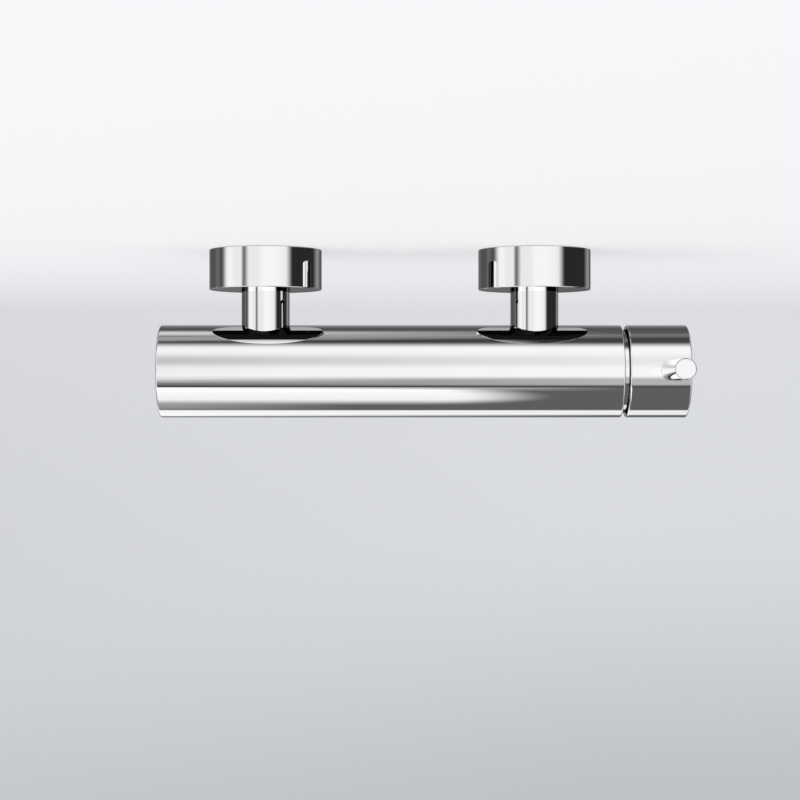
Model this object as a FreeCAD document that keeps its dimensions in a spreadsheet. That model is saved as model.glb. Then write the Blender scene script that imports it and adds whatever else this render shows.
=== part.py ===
import FreeCAD, Part
import math
import os
import re

import Sketcher

# Single-lever shower mixer on two wall inlets, in millimetres.
# The origin lies on the wall, midway between the two wall threads.
# +X runs to the handle end, +Y into the wall, +Z up.

FULL_TURN = 360
CLOSE = 1e-4
START, END, CENTRE = 1, 2, 3
ORIGIN_POINT = (-1, 1)

doc = FreeCAD.newDocument("shower_mixer")

# Driving sizes: alias, value, note.
SIZES = (
    ("inlet_spacing", "150", "between the two wall threads"),
    ("wall_to_axis", "67.6", "from the wall to the tube's axis"),
    ("union_offset", "8", "throw of the eccentric wall unions"),
    ("wall_thread_dia", "20.955", "half-inch pipe thread, outside"),
    ("wall_thread_length", "15", "wall thread, beyond the wall"),
    ("wall_bore_dia", "13", "waterway of the wall thread"),
    ("collar_length", "3.5", "collar of the wall union"),
    ("collar_margin", "1", "collar beyond the threads that it joins"),
    ("collar_flats", "31", "across the collar's spanner flats"),
    ("union_thread_dia", "26.44", "three-quarter-inch pipe thread, outside"),
    ("union_thread_length", "7.5", "mixer-side thread of the wall union"),
    ("union_bore_dia", "17", "waterway of the mixer-side thread"),
    ("bore_overlap", "0.9", "how far the union's two bores run past each other"),
    ("thread_chamfer", "0.8", "lead-in of the outside threads"),
    ("gasket_thick", "2", "gasket of the wall union"),
    ("flange_thick", "2", "flange of the inlet tail"),
    ("flange_margin", "2.2", "flange beyond the tail"),
    ("nut_lip", "2.5", "lip of the union nut"),
    ("nut_cover", "6", "thread that the union nut covers"),
    ("nut_wall", "1.8", "union nut at the middle of its flats"),
    ("nut_bevel", "0.4", "where the bevels of the union nut start, inside its flats"),
    ("tail_dia", "20", "inlet tail, outside"),
    ("tail_bore_dia", "14", "inlet tail, inside"),
    ("tail_thread", "9", "how deep a tail screws into the manifold"),
    ("rosette_dia", "62.5", "rosette, outside"),
    ("rosette_room", "1.5", "between the union nut and the rosette's front"),
    ("rosette_front", "3.2", "front of the rosette"),
    ("rosette_wall", "1.8", "side of the rosette"),
    ("rosette_round", "0.5", "edges of the rosette"),
    ("rosette_gap", "0.25", "between rosette and neck"),
    ("neck_dia", "26.7", "neck between rosette and tube"),
    ("neck_gap", "0.3", "between neck and tail"),
    ("neck_entry", "0.7", "neck past the inside of the rosette's front"),
    ("seat_drop", "0.9", "seats below the place where the tube's wall ends"),
    ("body_dia", "51.5", "body tube and handle cap, outside"),
    ("body_wall", "2.2", "wall of the body tube"),
    ("left_overhang", "58.4", "tube beyond the hot inlet"),
    ("right_overhang", "48.1", "tube beyond the cold inlet"),
    ("edge_round", "1", "end edges of tube and handle cap"),
    ("end_recess", "0.3", "end cap below the tube's end"),
    ("end_plate", "3", "plate of the end cap"),
    ("end_length", "10", "end cap, with its skirt"),
    ("end_skirt", "3", "skirt of the end cap"),
    ("fit_gap", "0.05", "close fits"),
    ("land_gap", "0.1", "between tube and manifold"),
    ("ring_section", "1.6", "section of the O-rings"),
    ("ring_room", "0.1", "groove beyond an O-ring's section"),
    ("land_half", "16", "half of a manifold land, along the tube"),
    ("waist_dia", "28", "manifold between its lands"),
    ("manifold_wall", "5.8", "manifold around the cartridge"),
    ("nut_thread_step", "0.9", "cartridge nut's thread beyond the chamber"),
    ("spigot_wall", "2.3", "spigot that the collar ring screws on"),
    ("spigot_length", "3.5", "spigot, along the tube"),
    ("seat_recess", "6.1", "collar ring's seat below the tube's end"),
    ("port_share", "0.266", "radius of a port, of the fixed disc's radius"),
    ("side_port_across", "0.456", "hot and cold ports beside the axis, of that radius"),
    ("side_port_up", "0.304", "hot and cold ports above the axis, of that radius"),
    ("mix_port_down", "0.532", "mixed-water port below the axis, of that radius"),
    ("flow_dia", "12", "waterways from the inlets and to the outlet"),
    ("port_pass", "1.1", "hot waterway beyond its port"),
    ("port_short", "1.2", "cold and outlet waterways past the middle of their ports"),
    ("peg_dia", "2.8", "locating pegs of the cartridge"),
    ("peg_length", "2.6", "locating pegs of the cartridge"),
    ("peg_across", "0.652", "pegs beside the axis, of the cartridge's radius"),
    ("peg_down", "0.482", "pegs below the axis, of the cartridge's radius"),
    ("pivot_inset", "16.1", "lever pivot inside the tube's end"),
    ("ball_arm", "7", "from the lever pivot to the stem's ball"),
    ("ball_dia", "4.4", "ball of the lever stem"),
    ("ball_play", "0.12", "around the ball, in the carrier"),
    ("ball_floor", "0.25", "below the ball, in the carrier"),
    ("carrier_floor", "1.1", "carrier under its pocket"),
    ("carrier_rim", "0.3", "carrier above the ball"),
    ("disc_thick", "3", "ceramic discs"),
    ("disc_travel", "2.6", "room for the moving disc's slide"),
    ("recess_depth", "1.8", "mixing recess of the moving disc"),
    ("recess_top", "0.4", "mixing recess above the axis"),
    ("recess_wide", "0.664", "half of the recess at its wide side, of the moving disc's radius"),
    ("recess_down", "0.853", "mixing recess below the axis, of that radius"),
    ("recess_slim", "0.303", "half of the recess at its narrow side, of that radius"),
    ("lug_width", "3.4", "carrier lugs"),
    ("lug_reach", "1.9", "carrier lugs, inward from the rim"),
    ("lug_inset", "0.6", "carrier lugs below the rim"),
    ("lug_length", "1.3", "carrier lugs, along the tube"),
    ("lug_gap", "0.05", "around the carrier lugs"),
    ("base_thick", "3.5", "cartridge base"),
    ("base_seal_section", "1.5", "seals under the cartridge base"),
    ("base_seal_land", "0.3", "between a port and its seal"),
    ("housing_gap", "0.1", "around the cartridge"),
    ("housing_wall", "4.4", "cartridge housing"),
    ("lip_thick", "3", "lip of the cartridge housing"),
    ("lip_width", "1.2", "lip over the turret's flange"),
    ("turn_gap", "0.1", "around the turret"),
    ("stack_gap", "0.2", "above and below the turret"),
    ("turret_flange", "4.6", "flange of the turret"),
    ("turret_neck", "6.7", "neck of the turret"),
    ("slot_top", "5.5", "stem slot of the turret, upward"),
    ("slot_low", "7.4", "stem slot of the turret, downward"),
    ("stem_side", "8", "square stem"),
    ("stem_gap", "0.1", "around the stem"),
    ("stem_heel", "2.9", "stem behind the pivot"),
    ("rod_dia", "2.4", "rod between stem and ball"),
    ("pivot_dia", "3", "pivot pin"),
    ("pivot_short", "0.7", "pivot pin below the turret's surface"),
    ("nut_length", "7.5", "cartridge nut"),
    ("nut_hole_margin", "1.6", "cartridge nut around the turret"),
    ("notch_width", "4", "spanner notches of the cartridge nut"),
    ("notch_depth", "2.5", "spanner notches of the cartridge nut"),
    ("notch_reach", "2", "notches, outward from the hole"),
    ("notch_count", "4", "spanner notches of the cartridge nut"),
    ("ring_wall", "1.3", "collar ring around the spigot"),
    ("ring_flange", "3", "flange of the collar ring"),
    ("ring_reach", "1.9", "collar ring inside the handle cap's mouth"),
    ("ring_plate", "1.6", "front plate of the collar ring"),
    ("ring_hole_dia", "27", "hole of the collar ring"),
    ("ring_round", "0.6", "front edge of the collar ring"),
    ("handle_gap", "2.6", "between tube and handle cap"),
    ("cap_length", "33.75", "handle cap"),
    ("cap_wall", "1.8", "handle cap at its mouth"),
    ("cap_inner_wall", "4.2", "handle cap around the hub"),
    ("mouth_depth", "11.5", "wide part of the handle cap"),
    ("mouth_rim", "1.05", "rim of the handle cap's mouth"),
    ("mouth_chamfer", "0.75", "inside chamfer of the handle cap's mouth"),
    ("mouth_round", "1", "outside edge of the handle cap's mouth"),
    ("cap_plate", "2.6", "end plate of the handle cap"),
    ("boss_wall", "2.4", "ring on the end plate that holds the hub"),
    ("boss_length", "6", "ring on the end plate that holds the hub"),
    ("hub_dia", "18", "handle hub"),
    ("hub_length", "20", "handle hub"),
    ("stem_grip", "15.5", "stem inside the hub"),
    ("pin_dia", "11.4", "lever pin"),
    ("pin_inset", "11.4", "lever pin from the handle cap's end"),
    ("pin_reach", "75.5", "lever pin's tip from the tube's axis"),
    ("pin_seat", "1.5", "lever pin's seat below the cap's surface"),
    ("pin_round", "0.9", "tip of the lever pin"),
    ("stud_dia", "6", "stud of the lever pin"),
    ("grub_dia", "5", "grub screw"),
    ("grub_length", "7", "grub screw"),
    ("grub_socket", "2.5", "across the flats of the grub screw's socket"),
    ("socket_depth", "3", "grub screw's socket"),
    ("shoulder_margin", "2", "outlet nipple's shoulder beyond its thread"),
    ("shoulder_drop", "2.6", "outlet nipple's shoulder below the tube"),
    ("outlet_thread_length", "13", "outlet thread"),
    ("nipple_dia", "20", "nipple inside the manifold"),
    ("nipple_thread", "8.5", "how deep the nipple screws into the manifold"),
    ("check_dia", "15", "check valve"),
    ("check_gap", "0.1", "around the check valve"),
    ("check_set", "3.6", "check valve above the nipple's end"),
    ("check_seat", "2.2", "seat of the check valve"),
    ("check_seat_dia", "9", "hole of the check valve's seat"),
    ("check_body", "12", "cage of the check valve"),
    ("check_wall", "1.1", "wall of the cage"),
    ("check_bridge", "2", "bridge of the cage"),
    ("window_dia", "3.2", "flow windows of the bridge"),
    ("window_ring", "4.3", "flow windows from the middle"),
    ("window_count", "6", "flow windows of the bridge"),
    ("poppet_dia", "11.2", "poppet"),
    ("poppet_thick", "1.5", "head of the poppet"),
    ("poppet_rest", "0.05", "between poppet and seat"),
    ("poppet_stem_dia", "2.4", "stem of the poppet"),
    ("poppet_stem", "9.9", "stem of the poppet"),
    ("guide_gap", "0.15", "around the poppet's stem"),
    ("spring_wire", "0.5", "spring of the check valve"),
    ("spring_dia", "4.6", "spring, to the middle of its wire"),
    ("spring_turns", "5", "turns of the spring"),
    ("spring_gap", "0.05", "at the ends of the spring"),
)

# Sizes that follow from the driving ones: alias, formula, note.
PLACES = (
    ("inlet_x", "inlet_spacing / 2", "inlets from the middle"),
    ("body_r", "body_dia / 2", "outside of the tube"),
    ("bore_r", "body_r - body_wall", "inside of the tube"),
    ("body_left", "inlet_x + left_overhang", "left end of the tube"),
    ("body_right", "inlet_x + right_overhang", "right end of the tube"),
    ("wall_thread_r", "wall_thread_dia / 2", "wall thread"),
    ("union_thread_r", "union_thread_dia / 2", "mixer-side thread"),
    ("collar_r", "(wall_thread_r + union_thread_r + union_offset) / 2 + collar_margin", "union collar"),
    ("collar_z", "(union_offset + union_thread_r - wall_thread_r) / 2", "middle of the union collar"),
    ("thread_end", "collar_length + union_thread_length", "end of the wall union"),
    ("flange_start", "thread_end + gasket_thick", "wall side of the tail"),
    ("lip_start", "flange_start + flange_thick", "union nut's lip"),
    ("nut_end", "lip_start + nut_lip", "front of the union nut"),
    ("nut_start", "thread_end - nut_cover", "back of the union nut"),
    ("nut_flats", "union_thread_dia + 2 * nut_wall", "across the union nut's flats"),
    ("nut_tip_r", "nut_flats / 2 / cos(30 deg)", "union nut at its corners"),
    ("nut_face_r", "nut_flats / 2 - nut_bevel", "round faces of the union nut"),
    ("nut_slope", "(nut_tip_r - nut_face_r) * tan(30 deg)", "bevels of the union nut, along it"),
    ("rosette_inside", "nut_end + rosette_room", "inside of the rosette's front"),
    ("rosette_depth", "rosette_inside + rosette_front", "front of the rosette"),
    ("rosette_r", "rosette_dia / 2", "outside of the rosette"),
    ("grip_y", "rosette_inside + rosette_front / 2", "O-ring that grips the neck"),
    ("tail_r", "tail_dia / 2", "outside of the tail"),
    ("flange_r", "tail_r + flange_margin", "outside of the tail's flange"),
    ("neck_r", "neck_dia / 2", "outside of the neck"),
    ("neck_start", "rosette_inside - neck_entry", "wall end of the neck"),
    ("rosette_hole_r", "neck_r + rosette_gap", "hole of the rosette"),
    ("neck_bore_r", "tail_r + neck_gap", "inside of the neck"),
    ("neck_seat", "sqrt(bore_r ^ 2 - neck_r ^ 2) - seat_drop", "neck's seat from the axis"),
    ("neck_end", "wall_to_axis - neck_seat", "neck's seat from the wall"),
    ("port_end", "neck_seat - tail_thread", "bottom of an inlet port from the axis"),
    ("tail_end", "wall_to_axis - port_end - ring_room", "inner end of the tail"),
    ("seal_r", "ring_section / 2", "half of an O-ring's section"),
    ("groove", "ring_section + ring_room", "depth and width of a groove"),
    ("land_r", "bore_r - land_gap", "manifold lands"),
    ("waist_r", "waist_dia / 2", "manifold waists"),
    ("flow_r", "flow_dia / 2", "waterways from inlets and to the outlet"),
    ("chamber_r", "bore_r - manifold_wall", "chamber of the cartridge"),
    ("nut_thread_r", "chamber_r + nut_thread_step", "thread of the cartridge nut"),
    ("spigot_r", "nut_thread_r + spigot_wall", "spigot of the manifold"),
    ("seat_x", "body_right - seat_recess", "seat of the collar ring"),
    ("spigot_x", "seat_x + spigot_length", "end of the spigot"),
    ("pivot_x", "body_right - pivot_inset", "lever pivot"),
    ("ball_r", "ball_dia / 2", "ball of the stem"),
    ("ball_x", "pivot_x - ball_arm", "middle of the ball"),
    ("pocket_x", "ball_x - ball_r - ball_floor", "bottom of the carrier's pocket"),
    ("carrier_x", "pocket_x - carrier_floor", "left face of the carrier"),
    ("carrier_end", "ball_x + ball_r + carrier_rim", "right face of the carrier"),
    ("moving_x", "carrier_x - disc_thick", "left face of the moving disc"),
    ("fixed_x", "moving_x - disc_thick", "left face of the fixed disc"),
    ("base_x", "fixed_x - base_thick", "bottom of the chamber"),
    ("housing_r", "chamber_r - housing_gap", "outside of the cartridge"),
    ("cavity_r", "housing_r - housing_wall", "inside of the cartridge"),
    ("disc_r", "cavity_r - disc_travel - turn_gap", "moving disc and carrier"),
    ("recess_half", "disc_r * recess_wide", "half of the recess at its wide side"),
    ("recess_low", "disc_r * recess_down", "mixing recess below the axis"),
    ("recess_narrow", "disc_r * recess_slim", "half of the recess at its narrow side"),
    ("peg_y", "housing_r * peg_across", "pegs beside the axis"),
    ("peg_z", "housing_r * peg_down", "pegs below the axis"),
    ("turret_x", "carrier_end + stack_gap", "left face of the turret"),
    ("turret_step", "turret_x + turret_flange", "step of the turret"),
    ("turret_end", "turret_step + turret_neck", "right face of the turret"),
    ("turret_r", "cavity_r - turn_gap", "flange of the turret, and the fixed disc"),
    ("port_r", "turret_r * port_share", "waterways to the cartridge"),
    ("side_port_y", "turret_r * side_port_across", "hot and cold ports beside the axis"),
    ("side_port_z", "turret_r * side_port_up", "hot and cold ports above the axis"),
    ("mix_port_z", "turret_r * mix_port_down", "mixed-water port below the axis"),
    ("hot_reach", "side_port_y + port_r + port_pass", "where the hot waterway stops, before the axis"),
    ("cold_reach", "side_port_y - port_short", "where the cold waterway stops, behind the axis"),
    ("mix_reach", "mix_port_z - port_short", "where the outlet waterway stops, below the axis"),
    ("lip_r", "cavity_r - lip_width", "hole of the housing"),
    ("turret_neck_r", "lip_r - turn_gap", "neck of the turret"),
    ("lip_x", "turret_step + stack_gap", "housing's lip"),
    ("housing_end", "lip_x + lip_thick", "right face of the housing"),
    ("nut_x", "housing_end + nut_length", "right face of the cartridge nut"),
    ("nut_hole_r", "turret_neck_r + nut_hole_margin", "hole of the cartridge nut"),
    ("stem_half", "stem_side / 2", "half of the square stem"),
    ("base_seal_r", "base_seal_section / 2", "half of a base seal's section"),
    ("base_seal_mid", "port_r + base_seal_land + base_seal_r", "middle of a base seal"),
    ("cap_x", "body_right + handle_gap", "mouth of the handle cap"),
    ("cap_end", "cap_x + cap_length", "end of the handle cap"),
    ("cap_bore_r", "body_r - cap_wall", "handle cap at its mouth"),
    ("cap_inner_r", "body_r - cap_inner_wall", "handle cap around the hub"),
    ("cap_floor", "cap_end - cap_plate", "inside of the end plate"),
    ("step_x", "cap_x + mouth_depth", "end of the cap's wide part"),
    ("hub_r", "hub_dia / 2", "outside of the hub"),
    ("hub_x", "cap_floor - hub_length", "left face of the hub"),
    ("stem_end", "hub_x + stem_grip", "right end of the stem"),
    ("ring_end", "cap_x + ring_reach", "front of the collar ring"),
    ("ring_r", "spigot_r + ring_wall", "outside of the collar ring"),
    ("pin_x", "cap_end - pin_inset", "lever pin"),
    ("pin_r", "pin_dia / 2", "lever pin"),
    ("pin_base", "body_r - pin_seat", "lever pin's seat from the axis"),
    ("stud_r", "stud_dia / 2", "stud of the lever pin"),
    ("grub_r", "grub_dia / 2", "grub screw"),
    ("nipple_r", "nipple_dia / 2", "nipple inside the manifold"),
    ("shoulder_r", "wall_thread_r + shoulder_margin", "shoulder of the nipple"),
    ("outlet_seat", "sqrt(bore_r ^ 2 - shoulder_r ^ 2) - seat_drop", "shoulder's seat from the axis"),
    ("outlet_port_end", "outlet_seat - nipple_thread", "bottom of the outlet port"),
    ("shoulder_end", "body_r + shoulder_drop", "bottom of the shoulder"),
    ("outlet_end", "shoulder_end + outlet_thread_length", "bottom of the nipple"),
    ("check_r", "check_dia / 2", "outside of the check valve"),
    ("check_end", "outlet_end - check_set", "bottom of the check valve"),
    ("check_top", "check_end - check_body", "bottom of the seat"),
    ("seat_top", "check_top - check_seat", "top of the seat"),
    ("cage_r", "check_r - check_wall", "inside of the cage"),
    ("poppet_top", "check_top + poppet_rest", "top of the poppet"),
    ("poppet_back", "poppet_top + poppet_thick", "back of the poppet's head"),
    ("bridge_top", "check_end - check_bridge", "top of the bridge"),
    ("spring_top", "poppet_back + spring_gap + spring_wire / 2", "first turn of the spring"),
    ("spring_height", "bridge_top - spring_gap - spring_wire / 2 - spring_top", "rise of the spring"),
)

SHEET_OF = {row[0]: "Sizes" for row in SIZES}
SHEET_OF.update({row[0]: "Places" for row in PLACES})


def size(words):
    """The words as an expression of the document: each alias gets its sheet's name."""
    def named(match):
        word = match[0]
        return f"{SHEET_OF[word]}.{word}" if word in SHEET_OF else word
    return re.sub(r"[a-z]\w*", named, words)


def add_sheet(name, rows, prefix):
    """A sheet with one alias in each row."""
    sheet = doc.addObject("Spreadsheet::Sheet", name)
    for row, (alias, value, note) in enumerate(rows, 1):
        sheet.set(f"A{row}", note)
        sheet.set(f"B{row}", prefix + (size(value) if prefix else value))
        sheet.setAlias(f"B{row}", alias)
    doc.recompute()
    return sheet


add_sheet("Sizes", SIZES, "")
places = add_sheet("Places", PLACES, "=")


def number(words):
    """The present value of an expression."""
    return float(places.evalExpression(size(words)))


# Where each group of sub-parts has its own origin.
TUBE = ("0", "-wall_to_axis", "union_offset")
PIVOT = ("pivot_x", "-wall_to_axis", "union_offset")
LEVER = ("pin_x", "-wall_to_axis", "union_offset")
INLETS = (("hot", "-inlet_x"), ("cold", "inlet_x"))
SIDE_PORTS = (("-side_port_y", "side_port_z"), ("side_port_y", "side_port_z"))
MIX_PORT = ("0", "-mix_port_z")
PORTS = SIDE_PORTS + (MIX_PORT,)
PEGS = (("-peg_y", "-peg_z"), ("peg_y", "-peg_z"))
MIDDLE = ("0", "0")

# The plane and the sketch axis on which each turned outline is drawn.
TURNING = {"x": ("XY_Plane", "H_Axis"), "y": ("XY_Plane", "V_Axis"), "z": ("XZ_Plane", "V_Axis")}
# The turn that takes a ring's own axis to each axis of the frame.
RING_TURN = {"x": (0, 1, 0), "y": (1, 0, 0), "z": (0, 0, 1)}
QUARTER_TURN = 90

nodes = []


def put(item, place):
    """Set an item's place by expressions."""
    for letter, words in zip("xyz", place):
        item.setExpression(f"Placement.Base.{letter}", size(words))


def new_body(label, place):
    """An empty body that will be written as one node."""
    body = doc.addObject("PartDesign::Body", label)
    body.Label = label
    put(body, place)
    nodes.append(body)
    doc.recompute()
    return body


def sketch_on(body, plane, level="0"):
    """An empty sketch on one of the body's own planes, raised to a level."""
    base = next(item for item in body.Origin.OriginFeatures if item.Role == plane)
    sketch = body.newObject("Sketcher::SketchObject", f"{body.Name}_sketch")
    sketch.AttachmentSupport = [(base, "")]
    sketch.MapMode = "FlatFace"
    sketch.setExpression("AttachmentOffset.Base.z", size(level))
    return sketch


def bind(sketch, rule, words):
    """Add a dimension to a sketch and bind it to an expression."""
    index = sketch.addConstraint(rule)
    sketch.setExpression(f"Constraints[{index}]", size(words))


def hold(sketch, geometry, point, spot):
    """Hold a point at its two distances from the sketch's origin."""
    for kind, words in zip(("DistanceX", "DistanceY"), spot):
        bind(sketch, Sketcher.Constraint(kind, *ORIGIN_POINT, geometry, point, number(words)), words)


def outline(corners):
    """Draws a closed run of straight lines through the corners."""
    def draw(sketch):
        points = [FreeCAD.Vector(number(across), number(up), 0) for across, up in corners]
        ends = points[1:] + points[:1]
        for first, last in zip(points, ends):
            sketch.addGeometry(Part.LineSegment(first, last))
        for index, corner in enumerate(corners):
            after = (index + 1) % len(corners)
            sketch.addConstraint(Sketcher.Constraint("Coincident", index, END, after, START))
            hold(sketch, index, START, corner)
    return draw


def disc(spot, radius):
    """Draws a circle."""
    def draw(sketch):
        middle = FreeCAD.Vector(number(spot[0]), number(spot[1]), 0)
        ring = sketch.addGeometry(Part.Circle(middle, FreeCAD.Vector(0, 0, 1), number(radius)))
        hold(sketch, ring, CENTRE, spot)
        bind(sketch, Sketcher.Constraint("Radius", ring, number(radius)), radius)
    return draw


def box(left, right, low, high):
    """Draws a rectangle between two pairs of limits."""
    return outline([(left, low), (right, low), (right, high), (left, high)])


def ball_end(sketch):
    """Draws half of the stem's ball and of the rod that joins it to the stem."""
    middle = FreeCAD.Vector(number("ball_x"), 0, 0)
    circle = Part.Circle(middle, FreeCAD.Vector(0, 0, 1), number("ball_r"))
    lean = math.asin(number("rod_dia / 2") / number("ball_r"))
    arc = sketch.addGeometry(Part.ArcOfCircle(circle, lean, math.pi))
    joint = circle.value(lean)
    heel = FreeCAD.Vector(number("pivot_x - stem_heel"), joint.y, 0)
    foot = FreeCAD.Vector(heel.x, 0, 0)
    side = sketch.addGeometry(Part.LineSegment(joint, heel))
    end = sketch.addGeometry(Part.LineSegment(heel, foot))
    axis = sketch.addGeometry(Part.LineSegment(foot, circle.value(math.pi)))
    hold(sketch, arc, CENTRE, ("ball_x", "0"))
    bind(sketch, Sketcher.Constraint("Radius", arc, number("ball_r")), "ball_r")
    hold(sketch, end, START, ("pivot_x - stem_heel", "rod_dia / 2"))
    hold(sketch, axis, START, ("pivot_x - stem_heel", "0"))
    for first, first_end, last, last_end in (
            (arc, START, side, START), (side, END, end, START), (end, END, axis, START), (axis, END, arc, END)):
        sketch.addConstraint(Sketcher.Constraint("Coincident", first, first_end, last, last_end))
    sketch.addConstraint(Sketcher.Constraint("Horizontal", side))
    sketch.addConstraint(Sketcher.Constraint("Horizontal", axis))


def hexagon(flats):
    """Draws a regular hexagon about the sketch's origin."""
    half = f"{flats} / 2"
    side = f"{flats} / 2 * tan(30 deg)"
    tip = f"{flats} / 2 / cos(30 deg)"
    return outline([(half, f"-{side}"), (half, side), ("0", tip),
                    (f"-{half}", side), (f"-{half}", f"-{side}"), ("0", f"-{tip}")])


def turn(body, sketch, line, kind="Revolution"):
    """Turn a sketch about one of its own axes, to add material or, as a Groove, to cut it."""
    feature = body.newObject(f"PartDesign::{kind}", f"{body.Name}_turn")
    feature.Profile = sketch
    feature.ReferenceAxis = (sketch, [line])
    feature.Angle = FULL_TURN
    doc.recompute()


def turn_outline(body, axis, corners, kind="Revolution"):
    """Turn an outline of (along, radius) corners about one of the body's axes."""
    plane, line = TURNING[axis]
    sketch = sketch_on(body, plane)
    outline(corners if axis == "x" else [(radius, along) for along, radius in corners])(sketch)
    turn(body, sketch, line, kind)


def turned(label, axis, place, corners):
    """A body turned about an axis, from the (along, radius) corners of its outline."""
    body = new_body(label, place)
    turn_outline(body, axis, corners)
    return body


def volume(body):
    """The body's volume, which is nothing before its first feature."""
    return 0 if body.Shape.isNull() else body.Shape.Volume


def swept(kind, body, plane, level, draw, length, back):
    """A pad or pocket of a drawn sketch."""
    sketch = sketch_on(body, plane, level)
    draw(sketch)
    feature = body.newObject(kind, f"{body.Name}_{kind.split('::')[1].lower()}")
    feature.Profile = sketch
    feature.setExpression("Length", size(length))
    feature.Reversed = back
    doc.recompute()
    return feature


def pad(body, plane, level, draw, length, back=False):
    """Add material from a level, along the plane's normal unless it goes back."""
    before = volume(body)
    feature = swept("PartDesign::Pad", body, plane, level, draw, length, back)
    if volume(body) <= before:
        raise ValueError(f"{body.Label}: a pad added nothing")
    return feature


def cut(body, plane, level, draw, length, back=False):
    """Cut from a level, against the plane's normal unless it goes back."""
    before = volume(body)
    feature = swept("PartDesign::Pocket", body, plane, level, draw, length, back)
    if volume(body) >= before:
        raise ValueError(f"{body.Label}: a cut removed nothing")
    return feature


def around(body, feature, axis, count):
    """Repeat a cut or pad around one of the body's own axes."""
    base = next(item for item in body.Origin.OriginFeatures if item.Role == axis)
    pattern = body.newObject("PartDesign::PolarPattern", f"{body.Name}_pattern")
    pattern.Originals = [feature]
    pattern.Axis = (base, [""])
    pattern.Angle = FULL_TURN
    pattern.setExpression("Occurrences", size(count))
    body.Tip = pattern
    doc.recompute()
    return pattern


def rims(body, axis, spots):
    """The names of the round edges that lie at these (along, radius) spots."""
    wanted = [(number(along), number(radius)) for along, radius in spots]
    names = []
    for index, edge in enumerate(body.Tip.Shape.Edges, 1):
        curve = edge.Curve
        if not isinstance(curve, Part.Circle):
            continue
        along = getattr(curve.Center, axis)
        if any(abs(along - a) < CLOSE and abs(curve.Radius - r) < CLOSE for a, r in wanted):
            names.append(f"Edge{index}")
    if len(names) < len(wanted):
        raise ValueError(f"{body.Label}: an edge to break was not found")
    return names


def rounded(body, axis, radius, *spots):
    """Round the body's circular edges at these (along, radius) spots."""
    edges = (body.Tip, rims(body, axis, spots))
    fillet = body.newObject("PartDesign::Fillet", f"{body.Name}_fillet")
    fillet.Base = edges
    fillet.setExpression("Radius", size(radius))
    doc.recompute()


def chamfered(body, axis, width, *spots):
    """Chamfer the body's circular edges at these (along, radius) spots."""
    edges = (body.Tip, rims(body, axis, spots))
    chamfer = body.newObject("PartDesign::Chamfer", f"{body.Name}_chamfer")
    chamfer.Base = edges
    chamfer.setExpression("Size", size(width))
    doc.recompute()


def ring(label, axis, place, radius, section):
    """An O-ring: a torus whose middle lies at its place."""
    seal = doc.addObject("Part::Torus", label)
    seal.Label = label
    seal.setExpression("Radius1", size(radius))
    seal.setExpression("Radius2", size(section))
    angle = 0 if axis == "z" else QUARTER_TURN
    seal.Placement.Rotation = FreeCAD.Rotation(FreeCAD.Vector(*RING_TURN[axis]), angle)
    put(seal, place)
    return seal


def seal_node(label, axis, place, radius, section="seal_r"):
    """An O-ring that is a node of its own."""
    nodes.append(ring(label, axis, place, radius, section))
    doc.recompute()


# Body tube, with a hole for each neck and one for the outlet.
tube = turned("body_tube", "x", TUBE, [
    ("-body_left", "bore_r"), ("-body_left", "body_r"), ("body_right", "body_r"), ("body_right", "bore_r")])
rounded(tube, "x", "edge_round", ("-body_left", "body_r"), ("body_right", "body_r"))
for side, inlet in INLETS:
    cut(tube, "XZ_Plane", "0", disc((inlet, "0"), "neck_r + fit_gap"), "body_dia")
cut(tube, "XY_Plane", "0", disc(MIDDLE, "shoulder_r + fit_gap"), "body_dia")

# End cap, set into the tube's left end, with its O-ring in a groove.
END_R = "(bore_r - fit_gap)"
END_X = "(-body_left + end_recess)"
GROOVE_X = f"({END_X} + end_plate)"
end_cap = turned("end_cap", "x", TUBE, [
    (END_X, "0"), (END_X, END_R), (GROOVE_X, END_R), (GROOVE_X, f"{END_R} - groove"),
    (f"{GROOVE_X} + groove", f"{END_R} - groove"), (f"{GROOVE_X} + groove", END_R),
    (f"{END_X} + end_length", END_R), (f"{END_X} + end_length", f"{END_R} - groove - end_skirt"),
    (GROOVE_X, f"{END_R} - groove - end_skirt"), (GROOVE_X, "0")])
chamfered(end_cap, "x", "end_recess", (END_X, END_R))
seal_node("end_cap_o_ring", "x", (f"{GROOVE_X} + groove / 2", TUBE[1], TUBE[2]), "bore_r - groove / 2")

# Manifold inside the tube: three lands, a cartridge chamber and drilled waterways.
manifold = turned("valve_manifold", "x", TUBE, [
    ("-inlet_x - land_half", "0"), ("-inlet_x - land_half", "land_r"),
    ("-inlet_x + land_half", "land_r"), ("-inlet_x + land_half", "waist_r"),
    ("-land_half", "waist_r"), ("-land_half", "land_r"), ("land_half", "land_r"), ("land_half", "waist_r"),
    ("inlet_x - land_half", "waist_r"), ("inlet_x - land_half", "land_r"), ("seat_x", "land_r"),
    ("seat_x", "spigot_r"), ("spigot_x", "spigot_r"), ("spigot_x", "nut_thread_r"),
    ("housing_end - nut_thread_step", "nut_thread_r"), ("housing_end - nut_thread_step", "chamber_r"),
    ("base_x", "chamber_r"), ("base_x", "0")])
for spot, length in zip(PORTS, ("base_x + inlet_x", "base_x - inlet_x", "base_x")):
    cut(manifold, "YZ_Plane", "base_x", disc(spot, "port_r"), length)
for spot in PEGS:
    cut(manifold, "YZ_Plane", "base_x", disc(spot, "peg_dia / 2 + fit_gap"), "peg_length + ring_room")
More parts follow.
